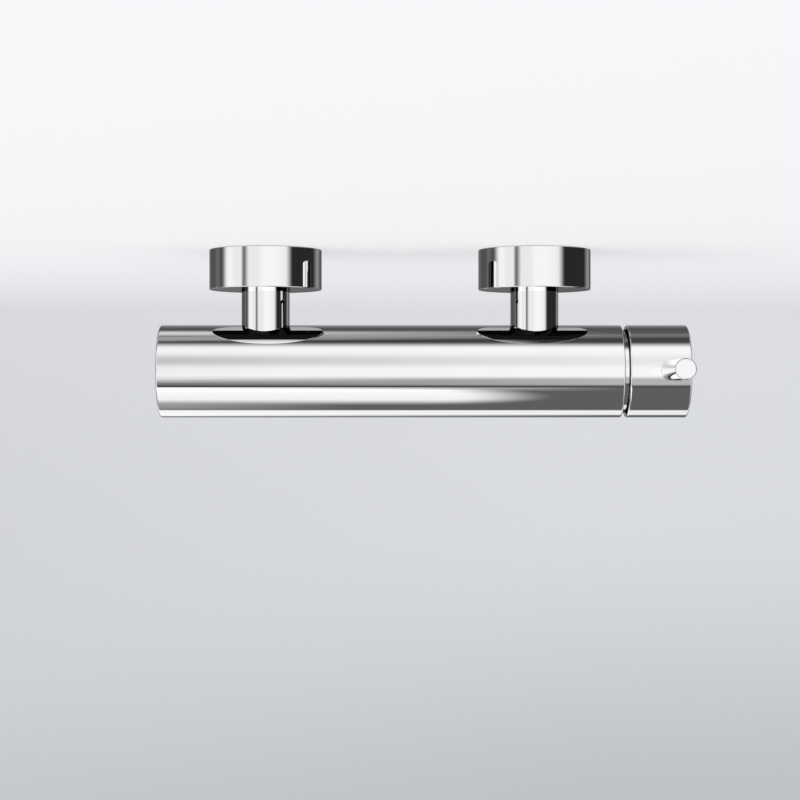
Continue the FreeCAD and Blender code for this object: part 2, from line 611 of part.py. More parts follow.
for (side, inlet), reach in zip(INLETS, ("hot_reach", "-cold_reach")):
    cut(manifold, "XZ_Plane", "-neck_seat", disc((inlet, "0"), "neck_r + land_gap"), "body_dia")
    cut(manifold, "XZ_Plane", "-port_end", disc((inlet, "0"), "tail_r + fit_gap"), "body_dia")
    cut(manifold, "XZ_Plane", reach, disc((inlet, "0"), "flow_r"), "body_dia")
cut(manifold, "XY_Plane", "-outlet_seat", disc(MIDDLE, "shoulder_r + land_gap"), "body_dia")
cut(manifold, "XY_Plane", "-outlet_port_end", disc(MIDDLE, "nipple_r + fit_gap"), "body_dia")
cut(manifold, "XY_Plane", "-mix_reach", disc(MIDDLE, "flow_r"), "body_dia")

# Collar ring, screwed on the manifold's spigot and seen in the gap before the handle.
SPIGOT_BORE = "spigot_r + fit_gap"
collar = turned("collar_ring", "x", TUBE, [
    ("seat_x", SPIGOT_BORE), ("seat_x", "land_r"), ("seat_x + ring_flange", "land_r"),
    ("seat_x + ring_flange", "ring_r"), ("ring_end", "ring_r"), ("ring_end", "ring_hole_dia / 2"),
    ("ring_end - ring_plate", "ring_hole_dia / 2"), ("ring_end - ring_plate", SPIGOT_BORE)])
rounded(collar, "x", "ring_round", ("ring_end", "ring_r"))

# Cartridge nut, with spanner notches around its hole.
nut = turned("cartridge_nut", "x", TUBE, [
    ("housing_end", "nut_hole_r"), ("housing_end", "nut_thread_r - fit_gap"),
    ("nut_x", "nut_thread_r - fit_gap"), ("nut_x", "nut_hole_r")])
notch = cut(nut, "YZ_Plane", "nut_x", box(
    "0", "nut_hole_r + notch_reach", "-notch_width / 2", "notch_width / 2"), "notch_depth")
around(nut, notch, "X_Axis", "notch_count")

# Cartridge: base with three seals, fixed disc and housing.
base = turned("cartridge_base", "x", TUBE, [
    ("base_x", "0"), ("base_x", "housing_r"), ("fixed_x", "housing_r"), ("fixed_x", "0")])
for spot in PORTS:
    cut(base, "YZ_Plane", "fixed_x", disc(spot, "port_r"), "base_thick")
    cut(base, "YZ_Plane", "base_x", disc(spot, "base_seal_mid + base_seal_r + fit_gap"),
        "base_seal_section + fit_gap", back=True)
for spot in PEGS:
    pad(base, "YZ_Plane", "base_x", disc(spot, "peg_dia / 2"), "peg_length", back=True)

SEAL_X = "base_x + base_seal_r + fit_gap / 2"
base_seals = doc.addObject("Part::Compound", "base_seals")
base_seals.Label = "base_seals"
base_seals.Links = [
    ring(f"base_seal_{index}", "x", (SEAL_X, f"{TUBE[1]} + {y}", f"{TUBE[2]} + {z}"),
         "base_seal_mid", "base_seal_r")
    for index, (y, z) in enumerate(PORTS, 1)]
nodes.append(base_seals)
doc.recompute()

fixed_disc = turned("fixed_disc", "x", TUBE, [
    ("fixed_x", "0"), ("fixed_x", "turret_r"), ("moving_x", "turret_r"), ("moving_x", "0")])
for spot in PORTS:
    cut(fixed_disc, "YZ_Plane", "moving_x", disc(spot, "port_r"), "disc_thick")

housing = turned("cartridge_housing", "x", TUBE, [
    ("fixed_x", "cavity_r"), ("fixed_x", "housing_r"), ("housing_end", "housing_r"),
    ("housing_end", "lip_r"), ("lip_x", "lip_r"), ("lip_x", "cavity_r")])

# Moving disc, with its mixing recess, and the carrier that slides it.
LUG_IN = "(disc_r - lug_reach)"
moving_disc = turned("moving_disc", "x", TUBE, [
    ("moving_x", "0"), ("moving_x", "disc_r"), ("carrier_x", "disc_r"), ("carrier_x", "0")])
cut(moving_disc, "YZ_Plane", "moving_x", outline([
    ("-recess_half", "recess_top"), ("recess_half", "recess_top"),
    ("recess_narrow", "-recess_low"), ("-recess_narrow", "-recess_low")]), "recess_depth", back=True)
for near, far in ((f"{LUG_IN} - lug_gap", "disc_r + lug_reach"),
                  ("-disc_r - lug_reach", f"-{LUG_IN} + lug_gap")):
    cut(moving_disc, "YZ_Plane", "carrier_x", box(
        near, far, "-lug_width / 2 - lug_gap", "lug_width / 2 + lug_gap"), "lug_length + lug_gap")

carrier = turned("disc_carrier", "x", TUBE, [
    ("carrier_x", "0"), ("carrier_x", "disc_r"), ("carrier_end", "disc_r"), ("carrier_end", "0")])
POCKET_HALF = "(ball_r + ball_play)"
cut(carrier, "YZ_Plane", "carrier_end", box(
    f"-{POCKET_HALF}", POCKET_HALF, f"-{POCKET_HALF}", POCKET_HALF), "carrier_end - pocket_x")
LUG_OUT = "(disc_r - lug_inset)"
for near, far in ((LUG_IN, LUG_OUT), (f"-{LUG_OUT}", f"-{LUG_IN}")):
    pad(carrier, "YZ_Plane", "carrier_x", box(near, far, "-lug_width / 2", "lug_width / 2"),
        "lug_length", back=True)

# Turret, which turns in the housing and carries the stem on its pivot pin.
turret = turned("turret", "x", TUBE, [
    ("turret_x", "0"), ("turret_x", "turret_r"), ("turret_step", "turret_r"),
    ("turret_step", "turret_neck_r"), ("turret_end", "turret_neck_r"), ("turret_end", "0")])
cut(turret, "YZ_Plane", "turret_end", box(
    "-stem_half - stem_gap", "stem_half + stem_gap", "-slot_low", "slot_top"), "turret_end - turret_x")
cut(turret, "XZ_Plane", "turret_r", disc(("pivot_x", "0"), "pivot_dia / 2 + fit_gap"), "2 * turret_r")
PIVOT_HALF = "(turret_neck_r - pivot_short)"
turned("pivot_pin", "y", PIVOT, [
    (f"-{PIVOT_HALF}", "0"), (f"-{PIVOT_HALF}", "pivot_dia / 2"),
    (PIVOT_HALF, "pivot_dia / 2"), (PIVOT_HALF, "0")])

# Lever stem: a square bar on the pivot, with a rod and a ball at its inner end.
stem = new_body("lever_stem", TUBE)
pad(stem, "YZ_Plane", "pivot_x - stem_heel",
    box("-stem_half", "stem_half", "-stem_half", "stem_half"), "stem_end - pivot_x + stem_heel")
tip = sketch_on(stem, "XY_Plane")
ball_end(tip)
turn(stem, tip, "H_Axis")
cut(stem, "XZ_Plane", "stem_half", disc(("pivot_x", "0"), "pivot_dia / 2 + fit_gap"), "stem_side")

# Handle: hub on the stem, cap around the hub, lever pin and grub screw.
hub = turned("handle_hub", "x", TUBE, [
    ("hub_x", "0"), ("hub_x", "hub_r"), ("cap_floor", "hub_r"), ("cap_floor", "0")])
HUB_HALF = "(stem_half + fit_gap)"
cut(hub, "YZ_Plane", "stem_end + stem_gap", box(
    f"-{HUB_HALF}", HUB_HALF, f"-{HUB_HALF}", HUB_HALF), "hub_length")
cut(hub, "XY_Plane", "0", disc(("pin_x", "0"), "stud_r + fit_gap"), "hub_dia", back=True)
cut(hub, "XY_Plane", "0", disc(("pin_x", "0"), "grub_r + fit_gap"), "hub_dia")

BOSS_BORE = "(hub_r + fit_gap)"
cap = turned("handle_cap", "x", TUBE, [
    ("cap_x", "body_r - mouth_rim"), ("cap_x", "body_r"), ("cap_end", "body_r"), ("cap_end", "0"),
    ("cap_floor", "0"), ("cap_floor", BOSS_BORE), ("cap_floor - boss_length", BOSS_BORE),
    ("cap_floor - boss_length", f"{BOSS_BORE} + boss_wall"), ("cap_floor", f"{BOSS_BORE} + boss_wall"),
    ("cap_floor", "cap_inner_r"), ("step_x", "cap_inner_r"), ("step_x", "cap_bore_r"),
    ("cap_x + mouth_chamfer", "cap_bore_r")])
rounded(cap, "x", "edge_round", ("cap_end", "body_r"))
rounded(cap, "x", "mouth_round", ("cap_x", "body_r"))
cut(cap, "XY_Plane", "pin_base", disc(("pin_x", "0"), "pin_r + fit_gap"), "body_r", back=True)
cut(cap, "XY_Plane", "0", disc(("pin_x", "0"), "stud_r + fit_gap"), "body_r", back=True)
cut(cap, "XY_Plane", "0", disc(("pin_x", "0"), "grub_r + fit_gap"), "body_r")

lever_pin = turned("lever_pin", "z", LEVER, [
    ("stem_half + fit_gap", "0"), ("stem_half + fit_gap", "stud_r"), ("pin_base", "stud_r"),
    ("pin_base", "pin_r"), ("pin_reach", "pin_r"), ("pin_reach", "0")])
rounded(lever_pin, "z", "pin_round", ("pin_reach", "pin_r"))

GRUB_END = "(stem_half + fit_gap + grub_length)"
grub = turned("grub_screw", "z", LEVER, [
    ("-stem_half - fit_gap", "0"), ("-stem_half - fit_gap", "grub_r"),
    (f"-{GRUB_END}", "grub_r"), (f"-{GRUB_END}", "0")])
cut(grub, "XY_Plane", f"-{GRUB_END}", hexagon("grub_socket"), "socket_depth", back=True)

# Outlet nipple, with its O-ring and a check valve inside.
nipple = turned("outlet_nipple", "z", TUBE, [
    ("-outlet_port_end - ring_room", "flow_r"), ("-outlet_port_end - ring_room", "nipple_r"),
    ("-outlet_seat - groove", "nipple_r"), ("-outlet_seat - groove", "nipple_r + groove"),
    ("-outlet_seat", "nipple_r + groove"), ("-outlet_seat", "shoulder_r"), ("-shoulder_end", "shoulder_r"),
    ("-shoulder_end", "wall_thread_r"), ("-outlet_end", "wall_thread_r"),
    ("-outlet_end", "check_r + check_gap"), ("-seat_top", "check_r + check_gap"), ("-seat_top", "flow_r")])
chamfered(nipple, "z", "thread_chamfer", ("-outlet_end", "wall_thread_r"))
OUTLET_SEAL = ("0", TUBE[1], f"{TUBE[2]} - outlet_seat - groove / 2")
seal_node("outlet_o_ring", "z", OUTLET_SEAL, "nipple_r + groove / 2")

turned("check_seat", "z", TUBE, [
    ("-seat_top", "check_seat_dia / 2"), ("-seat_top", "check_r"),
    ("-check_top", "check_r"), ("-check_top", "check_seat_dia / 2")])
cage = turned("check_cage", "z", TUBE, [
    ("-check_top", "cage_r"), ("-check_top", "check_r"), ("-check_end", "check_r"),
    ("-check_end", "poppet_stem_dia / 2 + guide_gap"), ("-bridge_top", "poppet_stem_dia / 2 + guide_gap"),
    ("-bridge_top", "cage_r")])
window = cut(cage, "XY_Plane", "-bridge_top", disc(("window_ring", "0"), "window_dia / 2"), "check_bridge")
around(cage, window, "Z_Axis", "window_count")
turned("check_poppet", "z", TUBE, [
    ("-poppet_top", "0"), ("-poppet_top", "poppet_dia / 2"), ("-poppet_back", "poppet_dia / 2"),
    ("-poppet_back", "poppet_stem_dia / 2"), ("-poppet_back - poppet_stem", "poppet_stem_dia / 2"),
    ("-poppet_back - poppet_stem", "0")])

spring = new_body("check_spring", TUBE)
wire = sketch_on(spring, "XZ_Plane")
disc(("spring_dia / 2", "-spring_top - spring_height"), "spring_wire / 2")(wire)
coil = spring.newObject("PartDesign::AdditiveHelix", "spring_coil")
coil.Profile = wire
coil.ReferenceAxis = (wire, ["V_Axis"])
coil.Mode = "height-turns-angle"
coil.setExpression("Height", size("spring_height"))
coil.setExpression("Turns", size("spring_turns"))
doc.recompute()

# Each inlet: wall union, gasket, union nut, tail, neck and rosette.
for side, inlet in INLETS:
    here = (inlet, "0", "union_offset")
    union = new_body(f"{side}_wall_union", (inlet, "0", "0"))
    offset = ("0", "union_offset")
    pad(union, "XZ_Plane", "0", disc(MIDDLE, "wall_thread_r"), "wall_thread_length", back=True)
    chamfered(union, "y", "thread_chamfer", ("wall_thread_length", "wall_thread_r"))
    pad(union, "XZ_Plane", "0", disc(("0", "collar_z"), "collar_r"), "collar_length")
    for near, far in (("collar_flats / 2", "collar_r + collar_margin"),
                      ("-collar_r - collar_margin", "-collar_flats / 2")):
        flat = box(near, far, "-2 * collar_r", "2 * collar_r")
        cut(union, "XZ_Plane", "0", flat, "collar_length", back=True)
    pad(union, "XZ_Plane", "collar_length", disc(offset, "union_thread_r"), "union_thread_length")
    chamfered(union, "y", "thread_chamfer", ("-thread_end", "union_thread_r"))
    wall_bore = disc(MIDDLE, "wall_bore_dia / 2")
    mixer_bore = disc(offset, "union_bore_dia / 2")
    cut(union, "XZ_Plane", "(collar_length + bore_overlap) / 2", wall_bore, "body_dia")
    cut(union, "XZ_Plane", "(collar_length - bore_overlap) / 2", mixer_bore, "body_dia", back=True)

    turned(f"{side}_inlet_gasket", "y", here, [
        ("-thread_end", "tail_bore_dia / 2"), ("-thread_end", "flange_r"),
        ("-flange_start", "flange_r"), ("-flange_start", "tail_bore_dia / 2")])

    union_nut = new_body(f"{side}_union_nut", here)
    pad(union_nut, "XZ_Plane", "nut_start", hexagon("nut_flats"), "nut_end - nut_start")
    for face, inward in (("-nut_end", "-nut_end + nut_slope"), ("-nut_start", "-nut_start - nut_slope")):
        turn_outline(union_nut, "y", [
            (face, "nut_face_r"), (face, "nut_tip_r + nut_bevel"), (inward, "nut_tip_r + nut_bevel"),
            (inward, "nut_tip_r")], "Groove")
    cut(union_nut, "XZ_Plane", "lip_start", disc(MIDDLE, "union_thread_r + fit_gap"), "lip_start - nut_start")
    cut(union_nut, "XZ_Plane", "nut_end", disc(MIDDLE, "tail_r + neck_gap"), "nut_lip")

    turned(f"{side}_inlet_tail", "y", here, [
        ("-flange_start", "tail_bore_dia / 2"), ("-flange_start", "flange_r"), ("-lip_start", "flange_r"),
        ("-lip_start", "tail_r"), ("-tail_end", "tail_r"), ("-tail_end", "tail_bore_dia / 2")])

    turned(f"{side}_neck", "y", here, [
        ("-neck_start", "neck_bore_r"), ("-neck_start", "neck_r"), ("-neck_end", "neck_r"),
        ("-neck_end", "tail_r + groove"), ("-neck_end + groove", "tail_r + groove"),
        ("-neck_end + groove", "neck_bore_r")])
    tail_seal = (inlet, "-neck_end + groove / 2", "union_offset")
    seal_node(f"{side}_tail_o_ring", "y", tail_seal, "tail_r + groove / 2")

    rosette = turned(f"{side}_rosette", "y", here, [
        ("0", "rosette_r - rosette_wall"), ("0", "rosette_r"), ("-rosette_depth", "rosette_r"),
        ("-rosette_depth", "rosette_hole_r"), ("-grip_y - groove / 2", "rosette_hole_r"),
        ("-grip_y - groove / 2", "neck_r + groove"), ("-grip_y + groove / 2", "neck_r + groove"),
        ("-grip_y + groove / 2", "rosette_hole_r"), ("-rosette_inside", "rosette_hole_r"),
        ("-rosette_inside", "rosette_r - rosette_wall")])
    rounded(rosette, "y", "rosette_round", ("-rosette_depth", "rosette_r"), ("0", "rosette_r"))
    seal_node(f"{side}_rosette_o_ring", "y", (inlet, "-grip_y", "union_offset"), "neck_r + groove / 2")

doc.recompute()

# Every object must be sound before anything is written.
for item in doc.Objects:
    if {"Invalid", "Error"} & set(item.State):
        raise ValueError(f"{item.Label} did not recompute")
os.makedirs("parts", exist_ok=True)
for node in nodes:
    if node.Shape.isNull() or not node.Shape.isValid():
        raise ValueError(f"{node.Label} has no valid shape")
    node.Shape.exportStep(f"parts/{node.Label}.step")
print(f"{len(nodes)} nodes written")
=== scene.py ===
"""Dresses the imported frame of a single-lever shower mixer.

The chromed pieces that show are turned anew with fine rings, so that the studio runs clean along them, the
pipe threads get their ridges, and every other CAD node gets the finish of its real material. Sizes in the
classes are in millimetres, and places come from the frame.
"""

from __future__ import annotations

import logging
import math
from collections.abc import Callable, Iterator
from contextlib import contextmanager
from dataclasses import dataclass
from enum import Enum
from functools import partial
from itertools import pairwise
from typing import Any

import bmesh
import bpy
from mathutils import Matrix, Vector

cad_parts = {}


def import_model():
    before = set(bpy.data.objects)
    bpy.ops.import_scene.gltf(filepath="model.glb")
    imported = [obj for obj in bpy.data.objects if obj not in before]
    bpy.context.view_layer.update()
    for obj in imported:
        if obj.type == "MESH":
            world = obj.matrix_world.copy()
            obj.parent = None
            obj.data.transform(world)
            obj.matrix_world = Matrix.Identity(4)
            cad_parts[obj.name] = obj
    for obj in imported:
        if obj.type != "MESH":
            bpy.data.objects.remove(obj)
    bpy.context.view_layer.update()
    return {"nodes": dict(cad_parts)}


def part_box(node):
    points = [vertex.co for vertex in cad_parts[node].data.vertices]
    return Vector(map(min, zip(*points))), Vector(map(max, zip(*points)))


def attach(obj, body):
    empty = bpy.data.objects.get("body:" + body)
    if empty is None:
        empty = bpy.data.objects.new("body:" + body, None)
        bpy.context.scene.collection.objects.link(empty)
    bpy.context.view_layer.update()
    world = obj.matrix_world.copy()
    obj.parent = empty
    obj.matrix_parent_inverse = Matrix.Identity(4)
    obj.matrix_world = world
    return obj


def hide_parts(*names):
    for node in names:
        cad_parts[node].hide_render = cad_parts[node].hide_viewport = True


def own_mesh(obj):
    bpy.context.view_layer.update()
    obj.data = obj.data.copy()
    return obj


LOG = logging.getLogger("shower_mixer")
MM = 0.001
FINE_STEPS = 256
THREAD_STEPS = 128
ROUND_STEPS = 6
WIRE_STEPS = 16
COIL_STEPS = 64
MERGE = 1e-6
SAME_PLACE = 2e-5
SMOOTH_ANGLE = math.radians(30)

# How many mirrors a ray has met, and bounds that tell none from one and one from more.
FIRST, SECOND, THIRD = 1.0, 2.0, 3.0
NONE_YET = 0.5
ONE_AT_MOST = 1.5

# Sockets of a mix node for numbers and for colours.
FACTOR = 0
LEVEL_A, LEVEL_B = 2, 3
TONE_A, TONE_B, TONE = 6, 7, 2

# Settings that several nodes share.
SMOOTH = {"interpolation_type": "SMOOTHSTEP"}
COLOURS = {"data_type": "RGBA"}
NUMBERS = {"data_type": "FLOAT"}
TIMES = {"operation": "MULTIPLY"}
MINUS = {"operation": "SUBTRACT"}
TIMES_PLUS = {"operation": "MULTIPLY_ADD"}
LARGER = {"operation": "MAXIMUM"}
BELOW = {"operation": "LESS_THAN"}
AMOUNT = {"operation": "ABSOLUTE"}
LENGTH = {"operation": "LENGTH"}

Corner = tuple[float, float]
Piece = bpy.types.Object
Node = bpy.types.Node
Output = Node | tuple[Node, int | str]
Adder = Callable[..., Node]


class Axis(Enum):
    """An axis of the frame that a piece is turned about."""

    X = 0
    Y = 1
    Z = 2

    @property
    def unit(self) -> Vector:
        """The axis as a vector of length 1."""
        return Vector([float(index == self.value) for index in range(3)])

    @property
    def lean(self) -> tuple[float, float, float]:
        """The turn that takes a primitive's own upright to this axis."""
        return {Axis.X: (0, math.pi / 2, 0), Axis.Y: (-math.pi / 2, 0, 0), Axis.Z: (0, 0, 0)}[self]

    @property
    def across(self) -> tuple[int, int]:
        """The two other axes, in right-handed order."""
        return (self.value + 1) % 3, (self.value + 2) % 3


class Body(Enum):
    """The bodies of the frame that new pieces ride on."""

    MIXER = "mixer"
    LEVER = "lever"


class Slot(Enum):
    """Names of material slots, passed along with each new piece; nothing in the script reads them."""

    CHROME = "chrome_plate"
    BRASS = "brass"
    STEEL = "steel"


@dataclass(frozen=True)
class Spindle:
    """A line along one axis that pieces are turned about."""

    axis: Axis
    through: Vector

    def point(self, along: float) -> Vector:
        """The point of the line at this distance along its axis."""
        spot = self.through.copy()
        spot[self.axis.value] = along
        return spot

    def measure(self, spot: Vector) -> tuple[float, float, float]:
        """Measure a spot against the line.

        Args:
            spot: a point of the frame, in metres.

        Returns:
            How far along the axis it lies, its distance from the line, and its right-handed turn about it.
        """
        first, second = self.axis.across
        off = spot - self.through
        return spot[self.axis.value], math.hypot(off[first], off[second]), math.atan2(off[second], off[first])

    def holds(self, spot: Vector, corner: Corner) -> bool:
        """Whether a spot lies on the ring of this (along, radius) corner."""
        along, radius, _ = self.measure(spot)
        return abs(along - corner[0]) < SAME_PLACE and abs(radius - corner[1]) < SAME_PLACE


@dataclass(frozen=True)
class Place:
    """The box that a CAD node fills at rest."""

    low: Vector
    high: Vector

    @classmethod
    def of(cls, node: str) -> Place:
        """The place of a node of the frame."""
        return cls(*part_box(node))

    def spindle(self, axis: Axis) -> Spindle:
        """The line along an axis through the middle of the box."""
        return Spindle(axis, (self.low + self.high) / 2)

    def half(self, axis: Axis) -> float:
        """Half the size of the box along an axis, which is the radius of a node that is turned across it."""
        return (self.high[axis.value] - self.low[axis.value]) / 2


def work_on(piece: Piece) -> None:
    """Make one piece the only selected and active object."""
    bpy.ops.object.select_all(action="DESELECT")
    piece.select_set(True)
    bpy.context.view_layer.objects.active = piece


@contextmanager
def editing() -> Iterator[None]:
    """Edit the active piece, with all of it selected at first."""
    bpy.ops.object.mode_set(mode="EDIT")
    bpy.ops.mesh.select_all(action="SELECT")
    yield
    bpy.ops.object.mode_set(mode="OBJECT")


def select_edges(piece: Piece, wanted: Callable[[list[Vector]], bool]) -> None:
    """Select only those edges of the piece in edit whose two ends are as wanted."""
    bpy.ops.mesh.select_mode(type="EDGE")
    bpy.ops.mesh.select_all(action="DESELECT")
    mesh = bmesh.from_edit_mesh(piece.data)
    for edge in mesh.edges:
        edge.select_set(wanted([vertex.co for vertex in edge.verts]))
    bmesh.update_edit_mesh(piece.data)


def turn_piece(name: str, spindle: Spindle, corners: list[Corner], steps: int = FINE_STEPS) -> Piece:
    """Turn a piece ring by ring: a circle is extruded from corner to corner, and open ends are filled.

    Args:
        name: the new object's name.
        spindle: the line that the piece is turned about.
        corners: (along, radius) of each ring in metres; a hollow piece ends with its first corner.
        steps: the number of points on each ring.

    Returns:
        The closed piece, in the frame's own place.
    """
    along, radius = corners[0]
    bpy.ops.object.select_all(action="DESELECT")
    bpy.ops.mesh.primitive_circle_add(
        vertices=steps, radius=radius, location=spindle.point(along), rotation=spindle.axis.lean)
    piece = bpy.context.active_object
    piece.name = piece.data.name = name
    bpy.ops.object.transform_apply()
    with editing():
        for (start, near), (end, far) in pairwise(corners):
            step = spindle.axis.unit * (end - start)
            bpy.ops.mesh.extrude_region_move(TRANSFORM_OT_translate={"value": tuple(step)})
            if far != near:
                bpy.ops.transform.resize(value=(far / near,) * 3, center_override=tuple(spindle.point(end)))
    close_piece()
    return piece


def close_piece() -> None:
    """Merge the doubles of the active piece, fill its open ends and point its faces outwards."""
    with editing():
        bpy.ops.mesh.remove_doubles(threshold=MERGE)
        bpy.ops.mesh.select_all(action="DESELECT")
        bpy.ops.mesh.select_non_manifold()
        bpy.ops.mesh.fill_holes(sides=0)
        bpy.ops.mesh.select_all(action="SELECT")
        bpy.ops.mesh.normals_make_consistent(inside=False)


def round_rims(piece: Piece, spindle: Spindle, width: float, *rims: Corner) -> None:
    """Round the rings of a turned piece that lie at these (along, radius) corners."""
    work_on(piece)
    with editing():
        select_edges(piece, lambda ends: any(all(spindle.holds(end, rim) for end in ends) for rim in rims))
        bpy.ops.mesh.bevel(offset=width, segments=ROUND_STEPS, affect="EDGES")


def apply_modifier(piece: Piece, kind: str, **settings: Any) -> None:
    """Add a modifier to a piece with these settings, and apply it."""
    work_on(piece)
    modifier = piece.modifiers.new(kind.lower(), kind)
    for key, value in settings.items():
        setattr(modifier, key, value)
    bpy.ops.object.modifier_apply(modifier=modifier.name)


def combine(piece: Piece, tool: Piece, operation: str) -> None:
    """Cut a piece with a tool, or join the tool to it, and remove the tool."""
    apply_modifier(piece, "BOOLEAN", object=tool, operation=operation, solver="EXACT")
    bpy.data.objects.remove(tool)


def drill(piece: Piece, spindle: Spindle, radius: float, start: float, end: float) -> None:
    """Drill a round hole into a piece, from one place along a line to another."""
    tool = turn_piece("drill", spindle, [(start, radius), (end, radius)], THREAD_STEPS)
    combine(piece, tool, "DIFFERENCE")


def twin(piece: Piece, name: str, step: Vector) -> Piece:
    """Copy a piece with its mesh to a place one step away.

    Args:
        piece: the piece to copy.
        name: the copy's name.
        step: the way from the piece to its copy, in metres.

    Returns:
        The copy, with its place in its own mesh.
    """
    work_on(piece)
    bpy.ops.object.duplicate(linked=False)
    copy = bpy.context.active_object
    copy.name = copy.data.name = name
    bpy.ops.transform.translate(value=step)
    bpy.ops.object.transform_apply()
    return copy


def polish(piece: Piece) -> None:
    """Shade a finished piece smooth, with its flats kept flat beside its rounded edges."""
    work_on(piece)
    bpy.ops.object.shade_smooth_by_angle(angle=SMOOTH_ANGLE)
    apply_modifier(piece, "WEIGHTED_NORMAL", keep_sharp=True)


@dataclass(frozen=True)
class PipeThread:
    """A parallel pipe thread on the outside of a turned piece, in millimetres."""

    pitch: float = 1.814
    depth: float = 1.16
    rings_per_turn: int = 10

    def corners(self, radius: float, start: float, end: float) -> list[Corner]:
        """The rings that a thread needs between two places, both in metres."""
        count = math.ceil(abs(end - start) / (self.pitch * MM) * self.rings_per_turn)
        return [(start + (end - start) * index / count, radius) for index in range(count + 1)]

    def cut(self, piece: Piece, spindle: Spindle, radius: float, start: float, end: float) -> None:
        """Press the thread's rounded grooves into a plain cylinder, with a run-out at both ends.

        Args:
            piece: a turned piece that has this thread's rings.
            spindle: the line that the piece was turned about.
            radius: the thread's outside radius, in metres.
            start: one end of the thread along the line, in metres.
            end: its other end.
        """
        pitch = self.pitch * MM
        low, high = min(start, end), max(start, end)
        for vertex in piece.data.vertices:
            along, reach, turn = spindle.measure(vertex.co)
            if abs(reach - radius) > SAME_PLACE or not low <= along <= high:
                continue
            wave = math.cos(math.tau * along / pitch - turn)
            run_out = min(1.0, (along - low) / pitch, (high - along) / pitch)
            groove = self.depth * MM * run_out * (1 - wave) / 2
            axis_point = spindle.point(along)
            vertex.co = axis_point + (vertex.co - axis_point) * (1 - groove / radius)


def linear(code: str) -> tuple[float, float, float, float]:
    """The linear colour of an sRGB hex value such as 1D2A3F."""
    parts = [int(code[index:index + 2], 16) / 255 for index in (0, 2, 4)]
    return (*(c / 12.92 if c <= 0.04045 else ((c + 0.055) / 1.055) ** 2.4 for c in parts), 1.0)


def per_metre(width: float) -> float:
    """The scale of a pattern whose features are this many millimetres wide."""
    return 1 / (width * MM)


def add_node(tree: bpy.types.NodeTree, kind: str, settings: dict[str, Any] | None = None,
             inputs: dict[str | int, Any] | list[Any] | None = None) -> Node:
    """Add a node with its settings, values and links.

    Args:
        tree: the node tree.
        kind: the node's type, without its leading words.
        settings: properties of the node.
        inputs: for each input, by its name, its number or in order, a value or an output to link from. A node
            stands for its first output, and a (node, output) pair for another one.

    Returns:
        The new node.
    """
    node = tree.nodes.new(f"ShaderNode{kind}")
    for key, value in (settings or {}).items():
        setattr(node, key, value)
    for key, value in inputs.items() if isinstance(inputs, dict) else enumerate(inputs or []):
        if isinstance(value, Node):
            tree.links.new(value.outputs[0], node.inputs[key])
        elif isinstance(value, tuple) and isinstance(value[0], Node):
            tree.links.new(value[0].outputs[value[1]], node.inputs[key])
        else:
            node.inputs[key].default_value = value
    return node


def new_material(name: str) -> tuple[bpy.types.Material, Adder]:
    """An empty material, and the function that adds a node to it."""
    material = bpy.data.materials.new(name)
    material.use_nodes = True
    material.node_tree.nodes.clear()
    return material, partial(add_node, material.node_tree)


class Use(Enum):
    """What a pattern changes in a finish."""

    TONE = "tone"
    GLOSS = "gloss"
    RELIEF = "relief"


@dataclass(frozen=True)
class Noise:
    """A noise: the width of its features in millimetres, its detail and how far they bend."""

    width: float
    detail: float
    bend: float = 0.0

    def inputs(self, place: Output, socket: str = "Vector") -> dict[str, Any]:
        """The inputs of its node, which takes its place from one of the sockets."""
        return {socket: place, "Scale": per_metre(self.width), "Detail": self.detail, "Distortion": self.bend}


Tones = tuple[str, str]
Range = tuple[float, ...]
Noises = tuple[tuple[Use, Noise], ...]
Drive = dict[Use, Output]


class Finish:
    """A procedural finish: a pattern mixes its two tones, and others may change its gloss and its relief.

    The tones are sRGB hex values. The roughness is one value or goes from one to another with the gloss, and
    the relief has a strength and a depth in millimetres. A finish with no IOR of its own keeps the default.
    """

    name: str
    tones: Tones
    noises: Noises = ()
    rough: Range
    metallic: float = 0.0
    ior: float | None = None
    relief: Range

    def patterns(self, add: Adder, place: Output) -> Drive:
        """The outputs that drive the tone and, where there are any, the gloss and the relief."""
        return {use: add("TexNoise", {}, noise.inputs(place)) for use, noise in self.noises}

    def build(self) -> bpy.types.Material:
        """Make the material."""
        material, add = new_material(self.name)
        drive = self.patterns(add, (add("TexCoord"), "Object"))
        tone = add("Mix", COLOURS, {
            FACTOR: drive[Use.TONE], TONE_A: linear(self.tones[0]), TONE_B: linear(self.tones[1])})
        inputs = {"Base Color": (tone, TONE), "Metallic": self.metallic, "Roughness": self.rough[0]}
        if self.ior:
            inputs["IOR"] = self.ior
        if Use.GLOSS in drive:
            inputs["Roughness"] = add("MapRange", {}, {
                "Value": drive[Use.GLOSS], "To Min": self.rough[0], "To Max": self.rough[1]})
        if Use.RELIEF in drive:
            inputs["Normal"] = add("Bump", {}, {
                "Height": drive[Use.RELIEF], "Strength": self.relief[0], "Distance": self.relief[1] * MM})
        shader = add("BsdfPrincipled", {}, inputs)
        add("OutputMaterial", {}, {"Surface": shader})
        return material


@dataclass(frozen=True)
class ChromePlate(Finish):
    """Bright chromium on polished brass: a cold mirror with faint wipe marks."""

    name: str = "polished_chrome_plate"
    tones: Tones = ("E5E5E6", "EAEAEB")
    # Wide clouds between two cold greys give the plate its slight depth of tone, and wipe marks show only as
    # a slight change of gloss.
    noises: Noises = ((Use.TONE, Noise(40.0, 1.0)), (Use.GLOSS, Noise(9.0, 3.0, 0.6)))
    rough: Range = (0.012, 0.026)
    metallic: float = 1.0


